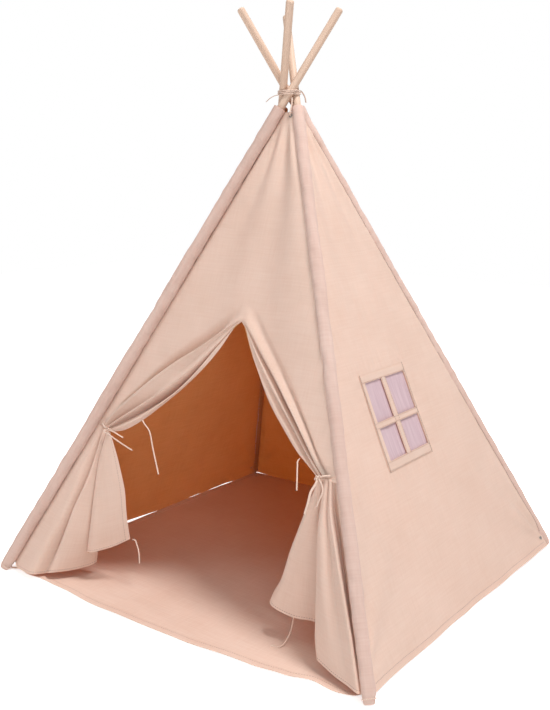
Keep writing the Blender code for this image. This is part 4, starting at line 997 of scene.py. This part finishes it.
def doorCloth(side):
    cloth = doorCloths[side]
    columns, panelRows = doorShape["columns"], doorShape["panelRows"]
    stations = doorStations(side)
    folded = [foldBetween(marks, cloth["sharp"], cloth["rows"]) for marks in stations]
    rows = [[doorPanel(side, j / columns, stations[j][0], i / panelRows) for j in range(columns + 1)]
            for i in range(panelRows)]
    return rows + [[folded[j][i] for j in range(columns + 1)] for i in range(len(folded[0]))]


def addDoorCloths():
    left, right = doorCloth("left"), doorCloth("right")
    width = 2 * doorShape["columns"] + 1
    points, uvs = [], []
    for rowLeft, rowRight in zip(left, right):
        for p in rowLeft + rowRight[:-1][::-1]:
            points.append(onWall("front", p.x, p.y, p.z))
            uvs.append((p.x, p.y))
    faces, halves = [], {"left": [], "right": []}
    for i in range(len(left) - 1):
        for j in range(width - 1):
            halves["left" if j < doorShape["columns"] else "right"].append(len(faces))
            a = i * width + j
            faces.append((a, a + width, a + width + 1, a + 1))
    made = clothParts(points, faces, uvs, {f"door_cloth_{s}": halves[s] for s in halves}, cover["thickness"],
                      [canvas, canvasInsidePaintedShade])
    for name, piece in made.items():
        poleName = "front_" + name.rsplit("_", 1)[1]
        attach(piece, "stand_" + poleName)
        gather(piece)
    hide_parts("front_panel", "door_swag_left")
    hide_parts("door_swag_right")


addDoorCloths()
print("teepee: front cloths ready")

# Skirts below the ties: fold lines from the tie to the hem, from the sleeve's seam to the free edge
skirts = {
    "left": {
        "seam": [(-0.4130, 0.4900, 0.0), (-0.6056, 0.0280, 0.0)],
        "lines": [
            [(-0.392, 0.476, 0.002), (-0.438, 0.382, 0.004), (-0.483, 0.267, 0.006), (-0.533, 0.153, 0.007),
             (-0.583, 0.012, 0.006)],
            [(-0.389, 0.475, 0.002), (-0.418, 0.371, 0.004), (-0.437, 0.257, 0.008), (-0.472, 0.136, 0.014),
             (-0.508, 0.012, 0.018)],
            [(-0.386, 0.473, -0.004), (-0.400, 0.376, -0.016), (-0.409, 0.309, -0.022),
             (-0.435, 0.191, -0.024), (-0.488, 0.022, -0.022)],
            [(-0.383, 0.472, 0.004), (-0.383, 0.366, 0.010), (-0.392, 0.297, 0.013), (-0.413, 0.219, 0.010),
             (-0.452, 0.032, -0.010)],
            [(-0.379, 0.471, 0.001), (-0.374, 0.357, -0.002), (-0.375, 0.263, -0.010),
             (-0.383, 0.160, -0.026), (-0.416, 0.051, -0.050)],
            [(-0.377, 0.470, -0.001), (-0.374, 0.369, -0.010), (-0.368, 0.290, -0.026),
             (-0.370, 0.189, -0.055), (-0.383, 0.076, -0.087)],
            [(-0.374, 0.469, -0.003), (-0.375, 0.371, -0.018), (-0.370, 0.291, -0.040),
             (-0.371, 0.196, -0.071), (-0.381, 0.092, -0.105)],
            [(-0.372, 0.469, -0.002), (-0.375, 0.371, -0.013), (-0.373, 0.290, -0.028),
             (-0.378, 0.193, -0.056), (-0.394, 0.103, -0.093)],
            [(-0.369, 0.468, 0.002), (-0.371, 0.366, 0.001), (-0.363, 0.281, -0.006),
             (-0.364, 0.188, -0.025), (-0.376, 0.114, -0.050)],
            [(-0.366, 0.467, 0.003), (-0.361, 0.371, 0.001), (-0.348, 0.284, -0.006),
             (-0.344, 0.193, -0.023), (-0.346, 0.121, -0.045)],
            [(-0.361, 0.466, 0.002), (-0.340, 0.382, -0.006), (-0.317, 0.291, -0.020),
             (-0.305, 0.209, -0.043), (-0.303, 0.148, -0.070)],
            [(-0.356, 0.465, 0.0), (-0.309, 0.394, -0.010), (-0.274, 0.316, -0.030),
             (-0.264, 0.240, -0.058), (-0.259, 0.183, -0.087)],
        ],
        "sharp": [False, True, False, True, False, False, False, False, False, True, False, False, False],
        "rows": [4, 7, 6, 6, 6, 6, 4, 4, 5, 5, 8, 8],
        "flat": (0.60, 0.47), "area": 0.125, "seed": 31.0,
    },
    "right": {
        "seam": [(0.4160, 0.4900, 0.0), (0.6098, 0.0280, 0.0)],
        "lines": [
            [(0.409, 0.481, -0.006), (0.420, 0.410, -0.022), (0.453, 0.332, -0.028), (0.502, 0.224, -0.026),
             (0.571, 0.093, -0.012), (0.604, 0.026, -0.003)],
            [(0.403, 0.480, 0.004), (0.430, 0.397, 0.006), (0.466, 0.321, 0.008), (0.511, 0.226, 0.008),
             (0.558, 0.123, 0.006), (0.598, 0.026, 0.004)],
            [(0.398, 0.479, -0.002), (0.412, 0.394, -0.006), (0.442, 0.316, -0.010), (0.477, 0.217, -0.015),
             (0.517, 0.122, -0.018), (0.559, 0.029, -0.020)],
            [(0.393, 0.478, 0.004), (0.409, 0.381, 0.004), (0.431, 0.289, 0.0), (0.454, 0.199, -0.008),
             (0.479, 0.111, -0.021), (0.509, 0.038, -0.032)],
            [(0.387, 0.477, 0.002), (0.395, 0.378, -0.001), (0.409, 0.284, -0.011), (0.424, 0.191, -0.023),
             (0.438, 0.099, -0.038), (0.451, 0.055, -0.045)],
            [(0.384, 0.476, -0.004), (0.389, 0.378, -0.020), (0.398, 0.283, -0.044), (0.410, 0.201, -0.066),
             (0.423, 0.131, -0.080), (0.435, 0.078, -0.084)],
            [(0.381, 0.476, -0.006), (0.378, 0.389, -0.030), (0.382, 0.305, -0.060), (0.391, 0.221, -0.088),
             (0.403, 0.162, -0.104), (0.417, 0.112, -0.114)],
            [(0.378, 0.475, -0.003), (0.372, 0.387, -0.026), (0.363, 0.300, -0.060), (0.363, 0.226, -0.088),
             (0.371, 0.166, -0.106), (0.379, 0.126, -0.121)],
            [(0.375, 0.475, 0.0), (0.359, 0.384, -0.020), (0.332, 0.292, -0.054), (0.322, 0.215, -0.080),
             (0.317, 0.159, -0.098), (0.322, 0.121, -0.106)],
            [(0.372, 0.474, 0.001), (0.346, 0.381, -0.018), (0.311, 0.287, -0.052), (0.288, 0.206, -0.078),
             (0.269, 0.151, -0.092), (0.263, 0.131, -0.095)],
            [(0.370, 0.474, -0.001), (0.335, 0.379, -0.026), (0.298, 0.285, -0.062), (0.272, 0.208, -0.092),
             (0.249, 0.171, -0.108), (0.242, 0.146, -0.110)],
            [(0.368, 0.474, -0.004), (0.340, 0.381, -0.036), (0.310, 0.288, -0.076), (0.286, 0.220, -0.108),
             (0.267, 0.182, -0.124), (0.260, 0.159, -0.130)],
        ],
        "sharp": [False, False, False, True, False, True, False, False, False, False, False, False, False],
        "rows": [5, 5, 6, 6, 7, 6, 5, 5, 6, 6, 6, 4],
        "flat": (0.60, 0.47), "area": 0.125, "seed": 37.0,
    },
}
skirtShape = {"stations": 52, "ripple": 0.0022, "lowest": 0.009, "length": 0.45}


def addSkirt(side):
    facts, stations = skirts[side], skirtShape["stations"]
    lines = [smoothLine(line, stations + 1) for line in [facts["seam"]] + facts["lines"]]
    rows = []
    for j in range(stations + 1):
        across = foldBetween([line[j] for line in lines], facts["sharp"], facts["rows"])
        drop = j / stations
        for k, p in enumerate(across):
            ripple = (noise.noise(Vector((k * 0.21, drop * 4.0, facts["seed"]))) * min(1.0, k / 5)
                      * math.sin(math.pi * min(1.0, drop * 1.15)))
            p.z += skirtShape["ripple"] * ripple
        rows.append(across)
    points, uvs = [], []
    widths = [0.0]
    for a, b in zip(rows[-1], rows[-1][1:]):
        widths.append(widths[-1] + (b - a).length)
    for j, across in enumerate(rows):
        for k, p in enumerate(across):
            point = onWall("front", p.x, p.y, p.z)
            point.z = max(point.z, skirtShape["lowest"])
            points.append(point)
            uvs.append((widths[k], -j / stations * skirtShape["length"]))
    width = len(rows[0])
    cloths["skirt_" + side] = {"grid": [points[r * width:(r + 1) * width] for r in range(stations + 1)],
                               "turn": -1 if side == "left" else 1}
    faces = []
    for i in range(stations):
        for j in range(width - 1):
            a = i * width + j
            quad = (a, a + width, a + width + 1, a + 1)
            faces.append(quad if side == "left" else quad[::-1])
    name = "skirt_cloth_" + side
    made = clothParts(points, faces, uvs, {name: list(range(len(faces)))}, cover["thickness"],
                      [canvas, canvasInsidePaintedShade])[name]
    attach(made, "door_flap_" + side)
    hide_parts("door_skirt_" + side)
    gather(made)


for side in skirts:
    addSkirt(side)
print("teepee: skirts ready")

# Sleeves: sewn tubes round the poles, a little loose, with small puckers
sleeve = {
    "radius": 0.0163, "fuller": 0.0022, "top": -0.052, "bottom": -1.6275, "around": 40, "rows": 300,
    "thickness": 0.0012, "floorGap": 0.0010, "wrinkle": 0.0031, "slow": 0.0020, "inner": 0.0015,
    "footTaper": 0.0040, "footShare": 0.020, "flare": 0.0012, "flareFrom": 0.985, "flareShare": 0.015,
    # the closed foot: height above the bottom, share of the radius
    "endGap": 0.005, "end": [(0.0, 0.1), (0.0003, 0.74), (0.0016, 0.93)],
}
sleeveSeeds = {"front_left": 1.3, "front_right": 5.9, "back_right": 9.4, "back_left": 14.2}


def addSleeve(poleName):
    pole, seed = poles[poleName], sleeveSeeds[poleName]
    inward = pole["up"].cross(pole["side"])
    outward = Vector((-pole["up"].x, -pole["up"].y, 0.0)).normalized()
    around, rows = sleeve["around"], sleeve["rows"]
    points, uvs = [], []
    ends = [(sleeve["bottom"] + rise, part) for rise, part in sleeve["end"]]
    start = sleeve["bottom"] + sleeve["endGap"]
    for down, part in ends + [(mix(start, sleeve["top"], i / rows), 1.0) for i in range(rows + 1)]:
        share = (down - sleeve["bottom"]) / (sleeve["top"] - sleeve["bottom"])
        puckered = 0.5 + 0.9 * max(0.0, noise.noise(Vector((down * 3.1, seed, 4.0))))
        close = 1 - ramp(share / sleeve["footShare"])
        flare = sleeve["flare"] * ramp((share - sleeve["flareFrom"]) / sleeve["flareShare"])
        for k in range(around):
            angle = 2 * math.pi * k / around
            facing = pole["side"] * math.cos(angle) + inward * math.sin(angle)
            fuller = sleeve["fuller"] * max(0.0, facing.dot(outward))
            wrinkle = noise.noise(Vector((
                math.cos(angle) * 1.1 + down * 14.0, math.sin(angle) * 1.1, down * 33.0 + seed)))
            slow = noise.noise(Vector((math.cos(angle) * 0.8 + seed, math.sin(angle) * 0.8, down * 7.0)))
            radius = (sleeve["radius"] + fuller + sleeve["wrinkle"] * wrinkle * puckered
                      + sleeve["slow"] * slow + flare - sleeve["footTaper"] * close)
            radius *= part
            lowest = (sleeve["floorGap"] - pole["cross"].z - facing.z * radius) / pole["up"].z
            lift = max(0.0, lowest - sleeve["bottom"]) * (1 - ramp((down - sleeve["bottom"]) / 0.04))
            points.append(pole["cross"] + pole["up"] * (down + lift) + facing * radius)
            uvs.append((sleeve["radius"] * angle, down))
    faces = []
    for i in range(rows + len(ends)):
        for k in range(around):
            a, b = i * around + k, i * around + (k + 1) % around
            faces.append((a, b, b + around, a + around))
    name = "sleeve_cloth_" + poleName
    piece = clothParts(points, faces, uvs, {name: list(range(len(faces)))}, sleeve["thickness"],
                       [sleeveCanvasPaintedShade, canvasInsidePaintedShade])[name]
    # sleeve faces behind the walls' planes take the inside canvas: painted shade, darker orange, as inside
    # the tent
    planes = [walls[w] for w in walls if poleName in walls[w]["poles"]]
    for polygon in piece.data.polygons:
        if all((polygon.center - wall["origin"]).dot(wall["out"]) < -sleeve["inner"] for wall in planes):
            polygon.material_index = 1
    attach(piece, "stand_" + poleName)
    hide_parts("sleeve_" + poleName)


for poleName in poles:
    addSleeve(poleName)
print("teepee: sleeves ready")

# Floor sheet: lies on the floor, hemmed, its corners drawn in beside the feet
floorSheet = {
    "corners": {"front_left": (-0.606, -0.583), "front_right": (0.606, -0.560),
                "back_right": (0.560, 0.592), "back_left": (-0.612, 0.588)},
    "cells": 96, "side": 1.16, "thickness": 0.0016,
    "cornerPull": {"front_left": 0.03, "front_right": 0.04, "back_right": 0.045, "back_left": 0.012},
    "hemBand": 0.016, "rest": 0.0012,
    "frontEdge": [(-0.60, -0.584), (-0.549, -0.584), (-0.491, -0.575), (-0.414, -0.578), (-0.233, -0.594),
                  (0.086, -0.592), (0.301, -0.575), (0.395, -0.566), (0.467, -0.544), (0.537, -0.555),
                  (0.60, -0.550)],
    # small folds: start, end, height and half width
    "folds": [((-0.44, -0.44), (-0.33, -0.415), 0.006, 0.010),
              ((-0.46, -0.475), (-0.34, -0.45), 0.005, 0.009),
              ((-0.325, -0.375), (-0.27, -0.385), 0.005, 0.008),
              ((0.10, -0.30), (0.30, -0.36), 0.003, 0.02),
              ((-0.25, -0.50), (0.05, -0.545), 0.002, 0.02)],
}


def floorRise(x, y, u, v):
    rise = (0.0012 + 0.0011 * noise.noise(Vector((x * 4.0, y * 4.0, 2.0)))
            + 0.0006 * noise.noise(Vector((x * 15.0, y * 15.0, 8.0))))
    for (x0, y0), (x1, y1), height, half in floorSheet["folds"]:
        run = Vector((x1 - x0, y1 - y0))
        along = min(1.0, max(0.0, (Vector((x - x0, y - y0))).dot(run) / run.length_squared))
        away = math.hypot(x - x0 - run.x * along, y - y0 - run.y * along)
        rise += height * math.exp(-(away / half) ** 2) * math.sin(math.pi * min(0.98, max(0.02, along)))
    edge = min(u, 1 - u, v, 1 - v) * floorSheet["side"]
    rise += 0.0010 * (1 - ramp((edge - floorSheet["hemBand"]) / 0.003))
    rise += 0.0022 * math.exp(-edge / 0.03) * (0.5 + noise.noise(Vector((x * 9.0, y * 9.0, 1.0))))
    return max(0.0, rise)


def frontEdgeAt(x):
    places = floorSheet["frontEdge"]
    for (x0, y0), (x1, y1) in zip(places, places[1:]):
        if x <= x1:
            return mix(y0, y1, ramp((x - x0) / (x1 - x0)))
    return places[-1][1]


def addFloorSheet():
    c = {k: Vector(v) for k, v in floorSheet["corners"].items()}
    count = floorSheet["cells"]
    # rows crowd towards the edges, where the hem is
    marks = [k / count for k in range(count + 1)]
    hemShare = floorSheet["hemBand"] / floorSheet["side"]
    marks = sorted(set([0.0, hemShare * 0.5, hemShare, hemShare + 0.003, 1 - hemShare - 0.003, 1 - hemShare,
                        1 - hemShare * 0.5, 1.0]
                       + [m for m in marks if hemShare + 0.006 < m < 1 - hemShare - 0.006]))
    points, uvs = [], []
    for v in marks:
        for u in marks:
            flat = c["front_left"].lerp(c["front_right"], u).lerp(c["back_left"].lerp(c["back_right"], u), v)
            pull = (abs(2 * u - 1) * abs(2 * v - 1)) ** 14
            corner = ("front_" if v < 0.5 else "back_") + ("left" if u < 0.5 else "right")
            flat = flat.lerp(Vector((0, 0)), floorSheet["cornerPull"][corner] * pull)
            drawIn = 0.004 * noise.noise(Vector((u * 6.0, v * 6.0, 3.0)))
            flat += Vector((0.5 - u, 0.5 - v)) * drawIn
            flat.y += ((frontEdgeAt(flat.x) - mix(c["front_left"].y, c["front_right"].y, u))
                       * math.exp(-(v / 0.06) ** 2) * (1 - pull))
            points.append(Vector((flat.x, flat.y, floorSheet["rest"] + floorRise(flat.x, flat.y, u, v))))
            uvs.append((flat.x, flat.y))
    width = len(marks)
    cloths["floor"] = {"grid": [points[r * width:(r + 1) * width] for r in range(width)], "turn": 1}
    faces = [(i * width + j, i * width + j + 1, (i + 1) * width + j + 1, (i + 1) * width + j)
             for i in range(width - 1) for j in range(width - 1)]
    name = "floor_sheet_cloth"
    piece = clothParts(points, faces, uvs, {name: list(range(len(faces)))}, floorSheet["thickness"],
                       [floorCanvas, floorCanvas])[name]
    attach(piece, "ground_sheet")
    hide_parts("floor_sheet")


addFloorSheet()
print("teepee: floor sheet ready")

# Stitches: one Geometry Nodes tree lays a thread on every step of a path, along it and flat on its cloth
stitch = {
    "hem": {"pitch": 0.0068, "length": 0.0048, "width": 0.0013, "wander": 0.10},
    # seam stitches nearly touch: in the dark thread they draw a painted shade line along the seam
    "seam": {"pitch": 0.0054, "length": 0.0052, "width": 0.0015, "wander": 0.04},
    "lift": 0.0009, "seed": 11, "segments": 6, "rings": 4,
}


def stitchTree():
    tree = bpy.data.node_groups.new("stitch_run", "GeometryNodeTree")
    inputs = {}
    for name, kind in (("Path", "Geometry"), ("Pitch", "Float"), ("Length", "Float"), ("Width", "Float"),
                       ("Wander", "Float"),
                       ("Seed", "Int"), ("Thread", "Material")):
        inputs[name] = tree.interface.new_socket(
            name=name, in_out="INPUT", socket_type="NodeSocket" + kind).identifier
    tree.interface.new_socket(name="Stitches", in_out="OUTPUT", socket_type="NodeSocketGeometry")
    given = tree.nodes.new("NodeGroupInput").outputs
    curve = addNode(tree, "GeometryNodeMeshToCurve", {"Mesh": given["Path"]}).outputs["Curve"]
    steps = addNode(tree, "GeometryNodeResampleCurve", {"Curve": curve, "Length": given["Pitch"]},
                    {"mode": "LENGTH"}).outputs["Curve"]
    outward = addNode(tree, "GeometryNodeInputNamedAttribute", {"Name": "outward"},
                      {"data_type": "FLOAT_VECTOR"}).outputs["Attribute"]
    ahead = addNode(tree, "GeometryNodeInputTangent").outputs["Tangent"]
    flat = addNode(tree, "FunctionNodeAlignRotationToVector", {"Vector": outward},
                   {"axis": "Z"}).outputs["Rotation"]
    laid = addNode(tree, "FunctionNodeAlignRotationToVector", {"Rotation": flat, "Vector": ahead},
                   {"axis": "X", "pivot_axis": "Z"}).outputs["Rotation"]
    least = addNode(tree, "ShaderNodeMath", {0: given["Wander"], 1: -1.0},
                    {"operation": "MULTIPLY"}).outputs[0]
    # sockets 2, 3 and 8 are the float range and the seed
    angle = addNode(tree, "FunctionNodeRandomValue", {2: least, 3: given["Wander"], 8: given["Seed"]},
                    {"data_type": "FLOAT"}).outputs[1]
    turn = addNode(tree, "FunctionNodeAxisAngleToRotation",
                   {"Axis": (0, 0, 1), "Angle": angle}).outputs["Rotation"]
    turned = addNode(tree, "FunctionNodeRotateRotation", {"Rotation": laid, "Rotate By": turn},
                     {"rotation_space": "LOCAL"}).outputs["Rotation"]
    ball = addNode(tree, "GeometryNodeMeshUVSphere",
                   {"Segments": stitch["segments"], "Rings": stitch["rings"], "Radius": 0.5}).outputs["Mesh"]
    low = addNode(tree, "ShaderNodeMath", {0: given["Width"], 1: 0.7}, {"operation": "MULTIPLY"}).outputs[0]
    size = addNode(tree, "ShaderNodeCombineXYZ",
                   {"X": given["Length"], "Y": given["Width"], "Z": low}).outputs["Vector"]
    lying = addNode(tree, "GeometryNodeTransform",
                    {"Geometry": ball, "Rotation": (0, math.pi / 2, 0)}).outputs["Geometry"]
    shaped = addNode(tree, "GeometryNodeTransform", {"Geometry": lying, "Scale": size}).outputs["Geometry"]
    smooth = addNode(tree, "GeometryNodeSetShadeSmooth", {"Geometry": shaped}).outputs["Geometry"]
    placed = addNode(tree, "GeometryNodeInstanceOnPoints",
                     {"Points": steps, "Instance": smooth, "Rotation": turned}).outputs["Instances"]
    real = addNode(tree, "GeometryNodeRealizeInstances", {"Geometry": placed}).outputs["Geometry"]
    done = addNode(tree, "GeometryNodeSetMaterial",
                   {"Geometry": real, "Material": given["Thread"]}).outputs["Geometry"]
    addNode(tree, "NodeGroupOutput", {"Stitches": done})
    return tree, inputs


stitchRun, stitchInputs = stitchTree()
# seams: how far a stitch line lies in from its edge, and each run's side, edge, lowest and highest place
seam = {
    "inset": 0.0062, "windowInset": 0.0022, "windowSteps": 40, "steps": 240,
    "runs": [("front", "left", 0.53, 1.39), ("right", "right", 0.05, 1.40), ("back", "right", 0.05, 1.39),
             ("left", "right", 0.05, 1.39)],
}


def addStitches(name, runs, kind, material, body):
    # each run is a line of (point, outward direction)
    points, edges, outward = [], [], []
    for run in runs:
        start = len(points)
        for point, out in run:
            points.append(tuple(point + out * stitch["lift"]))
            outward.extend(out)
        edges += [(k, k + 1) for k in range(start, len(points) - 1)]
    mesh = bpy.data.meshes.new(name)
    mesh.from_pydata(points, edges, [])
    mesh.attributes.new("outward", "FLOAT_VECTOR", "POINT").data.foreach_set("vector", outward)
    path = addObject(name + "_path", mesh, [])
    modifier = path.modifiers.new("stitches", "NODES")
    modifier.node_group = stitchRun
    facts = stitch[kind]
    values = {"Pitch": facts["pitch"], "Length": facts["length"], "Width": facts["width"],
              "Wander": facts["wander"],
              "Seed": stitch["seed"], "Thread": material}
    for socket, value in values.items():
        modifier[stitchInputs[socket]] = value
    evaluated = path.evaluated_get(bpy.context.evaluated_depsgraph_get())
    sewn = bpy.data.meshes.new_from_object(evaluated)
    path.modifiers.clear()
    bpy.data.objects.remove(path)
    piece = addObject(name, sewn, [])
    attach(piece, body)
    return piece


def clothRun(cloth, cells, part=0.0):
    # the line through the cells (row, column) of a cloth; part moves it towards the next row
    grid, run = cloths[cloth]["grid"], []
    rows, width = len(grid), len(grid[0])
    for i, j in cells:
        above, below = grid[min(i + 1, rows - 1)][j], grid[max(i - 1, 0)][j]
        out = ((grid[i][min(j + 1, width - 1)] - grid[i][max(j - 1, 0)]).cross(above - below).normalized()
               * cloths[cloth]["turn"])
        run.append((grid[i][j].lerp(above, part), out))
    return run


def sewWalls():
    for name in ("back", "left", "right"):
        cloth = cloths["wall_" + name]
        width, middle = len(cloth["grid"][0]), cloth["middle"]
        for poleName, columns in zip(walls[name]["poles"], (range(2, middle + 1), range(middle, width - 2))):
            run = clothRun("wall_" + name, [(3, j) for j in columns])
            piece = addStitches(f"hem_stitches_{name}_{poleName}", [run], "hem", thread, "stand_" + poleName)
            gather(piece)


def sewSeams():
    # the line of the sleeve's seam, seen where the cloth leaves its sleeve, in dark thread that also paints
    # the seam's shade line
    for name, which, low, high in seam["runs"]:
        poleName = walls[name]["poles"][0 if which == "left" else 1]
        inset = seam["inset"] if which == "left" else -seam["inset"]
        run = []
        for k in range(seam["steps"] + 1):
            height = mix(low, high, k / seam["steps"])
            along = edgeAt(name, which, height) + inset
            out = wallOut(name, along, height) + cover["thickness"] / 2
            run.append((onWall(name, along, height, out), walls[name]["out"]))
        piece = addStitches(f"seam_stitches_{name}_{poleName}", [run], "seam", seamThreadPaintedShade,
                            "stand_" + poleName)
        gather(piece)


def sewSkirts():
    for side in skirts:
        name = "skirt_" + side
        rows, width = len(cloths[name]["grid"]), len(cloths[name]["grid"][0])
        hem = clothRun(name, [(rows - 2, j) for j in range(2, width - 2)], 0.2)
        free = clothRun(name, [(i, width - 3) for i in range(4, rows - 1)])
        piece = addStitches("skirt_stitches_" + side, [hem, free], "hem", thread, "door_flap_" + side)
        gather(piece)


def sewWindow():
    a, u = windowFrame["along"], windowFrame["up"]
    near, steps = seam["windowInset"], seam["windowSteps"]

    def line(start, end):
        run = []
        for k in range(steps + 1):
            along, height = mix(start[0], end[0], k / steps), mix(start[1], end[1], k / steps)
            run.append((onWall("right", along, height, frameOut(along, height) + 0.0006),
                        walls["right"]["out"]))
        return run

    split = windowFrame["split"]
    outer = {"front_right": [line((a[0] + near, u[0]), (a[0] + near, u[-1]))],
             "back_right": [line((a[-1] - near, u[0]), (a[-1] - near, u[-1]))]}
    heights = (u[0] + near, u[1] - near, u[2] + near, u[3] - near, u[4] + near)
    inner = {"front_right": [line((a[2] + near, u[1]), (a[2] + near, u[4]))] +
                            [line((a[0] + near, h), (split, h)) for h in heights],
             "back_right": [line((a[4] - near, u[1]), (a[4] - near, u[4]))] +
                           [line((split, h), (a[-1] - near, h)) for h in heights]}
    for poleName in outer:
        # the frame's outer seams in dark thread: real stitches that also paint the shade line at the frame's
        # edges
        for label, runs, kind, material in (("outer", outer, "seam", seamThreadPaintedShade),
                                            ("inner", inner, "hem", thread)):
            piece = addStitches(f"window_stitches_{label}_{poleName}", runs[poleName], kind, material,
                                "stand_" + poleName)
            gather(piece)


def sewFloor():
    last = len(cloths["floor"]["grid"]) - 1
    lines = [[(2, j) for j in range(2, last - 1)], [(last - 2, j) for j in range(2, last - 1)],
             [(i, 2) for i in range(2, last - 1)], [(i, last - 2) for i in range(2, last - 1)]]
    addStitches("floor_hem_stitches", [clothRun("floor", line) for line in lines], "hem", thread,
                "ground_sheet")


sewWalls()
sewSeams()
sewSkirts()
sewWindow()
sewFloor()
print("teepee: stitches ready")

# Carried-over rigid parts
for poleName, pole in poles.items():
    pine = pineMaterial(poleName, pole)
    for node in ("pole_lower_", "pole_upper_"):
        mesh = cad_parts[node + poleName].data
        mesh.materials.clear()
        mesh.materials.append(pine)
    for node in ("pole_ferrule_", "eyelet_foot_"):
        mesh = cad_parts[node + poleName].data
        mesh.materials.clear()
        mesh.materials.append(nickel)
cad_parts["eyelet_top"].data.materials.clear()
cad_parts["eyelet_top"].data.materials.append(nickel)

# Floor, light and background
studio = {"floorSize": 14.0, "floorDrop": 0.0005, "worldLight": 0.40, "glow": 0.66}
lamps = {
    "top": {"place": (1.5, 0.1, 5.0), "target": (0, 0, 0.6), "size": 1.2, "power": 170.0},
    "front": {"place": (3.6, -3.5, 1.3), "target": (0, 0, 0.6), "size": 1.8, "power": 55.0},
    "left": {"place": (-2.6, -3.6, 1.3), "target": (0, 0, 0.7), "size": 2.4, "power": 36.0},
    "rim": {"place": (-3.0, 2.8, 3.6), "target": (0, 0, 0.7), "size": 2.6, "power": 24.0},
}


def seenDirectly(tree):
    paths = addNode(tree, "ShaderNodeLightPath")
    seen = addNode(tree, "ShaderNodeMath",
                   {0: paths.outputs["Is Camera Ray"], 1: paths.outputs["Is Glossy Ray"]},
                   {"operation": "MAXIMUM"}).outputs[0]
    return addNode(tree, "ShaderNodeMath", {0: seen, 1: paths.outputs["Is Transmission Ray"]},
                   {"operation": "MAXIMUM"}).outputs[0]


def addStage():
    material, tree = newMaterial("matt_white_paper")
    paper = addNode(tree, "ShaderNodeBsdfDiffuse", {"Color": hexColour("#FFFFFF")}).outputs["BSDF"]
    glow = addNode(tree, "ShaderNodeEmission",
                   {"Color": (1, 1, 1, 1), "Strength": studio["glow"]}).outputs["Emission"]
    seen = seenDirectly(tree)
    both = addNode(tree, "ShaderNodeAddShader", {0: paper, 1: glow}).outputs[0]
    shader = addNode(tree, "ShaderNodeMixShader", {0: seen, 1: paper, 2: both}).outputs[0]
    finishMaterial(tree, shader)
    half = studio["floorSize"] / 2
    mesh = bpy.data.meshes.new("studio_floor")
    corners = [(x, y, -studio["floorDrop"])
               for x, y in ((-half, -half), (half, -half), (half, half), (-half, half))]
    mesh.from_pydata(corners, [], [(0, 1, 2, 3)])
    floor = addObject("studio_floor", mesh, [material])
    world = bpy.data.worlds.new("studio")
    scene.world = world
    world.use_nodes = True
    tree = world.node_tree
    tree.nodes.clear()
    light = addNode(tree, "ShaderNodeBackground",
                    {"Color": (1, 1, 1, 1), "Strength": studio["worldLight"]}).outputs[0]
    white = addNode(tree, "ShaderNodeBackground", {"Color": (1, 1, 1, 1), "Strength": 1.0}).outputs[0]
    seen = seenDirectly(tree)
    shader = addNode(tree, "ShaderNodeMixShader", {0: seen, 1: light, 2: white}).outputs[0]
    addNode(tree, "ShaderNodeOutputWorld", {"Surface": shader})


def addLamp(name, facts):
    data = bpy.data.lights.new(name, "AREA")
    data.shape, data.size, data.energy = "DISK", facts["size"], facts["power"]
    lamp = bpy.data.objects.new(name, data)
    scene.collection.objects.link(lamp)
    lamp.location = facts["place"]
    aim = Vector(facts["target"]) - Vector(facts["place"])
    lamp.rotation_euler = aim.to_track_quat("-Z", "Y").to_euler()


addStage()
for name, facts in lamps.items():
    addLamp(name, facts)
scene.view_settings.view_transform = "Standard"
print("teepee: stage ready")
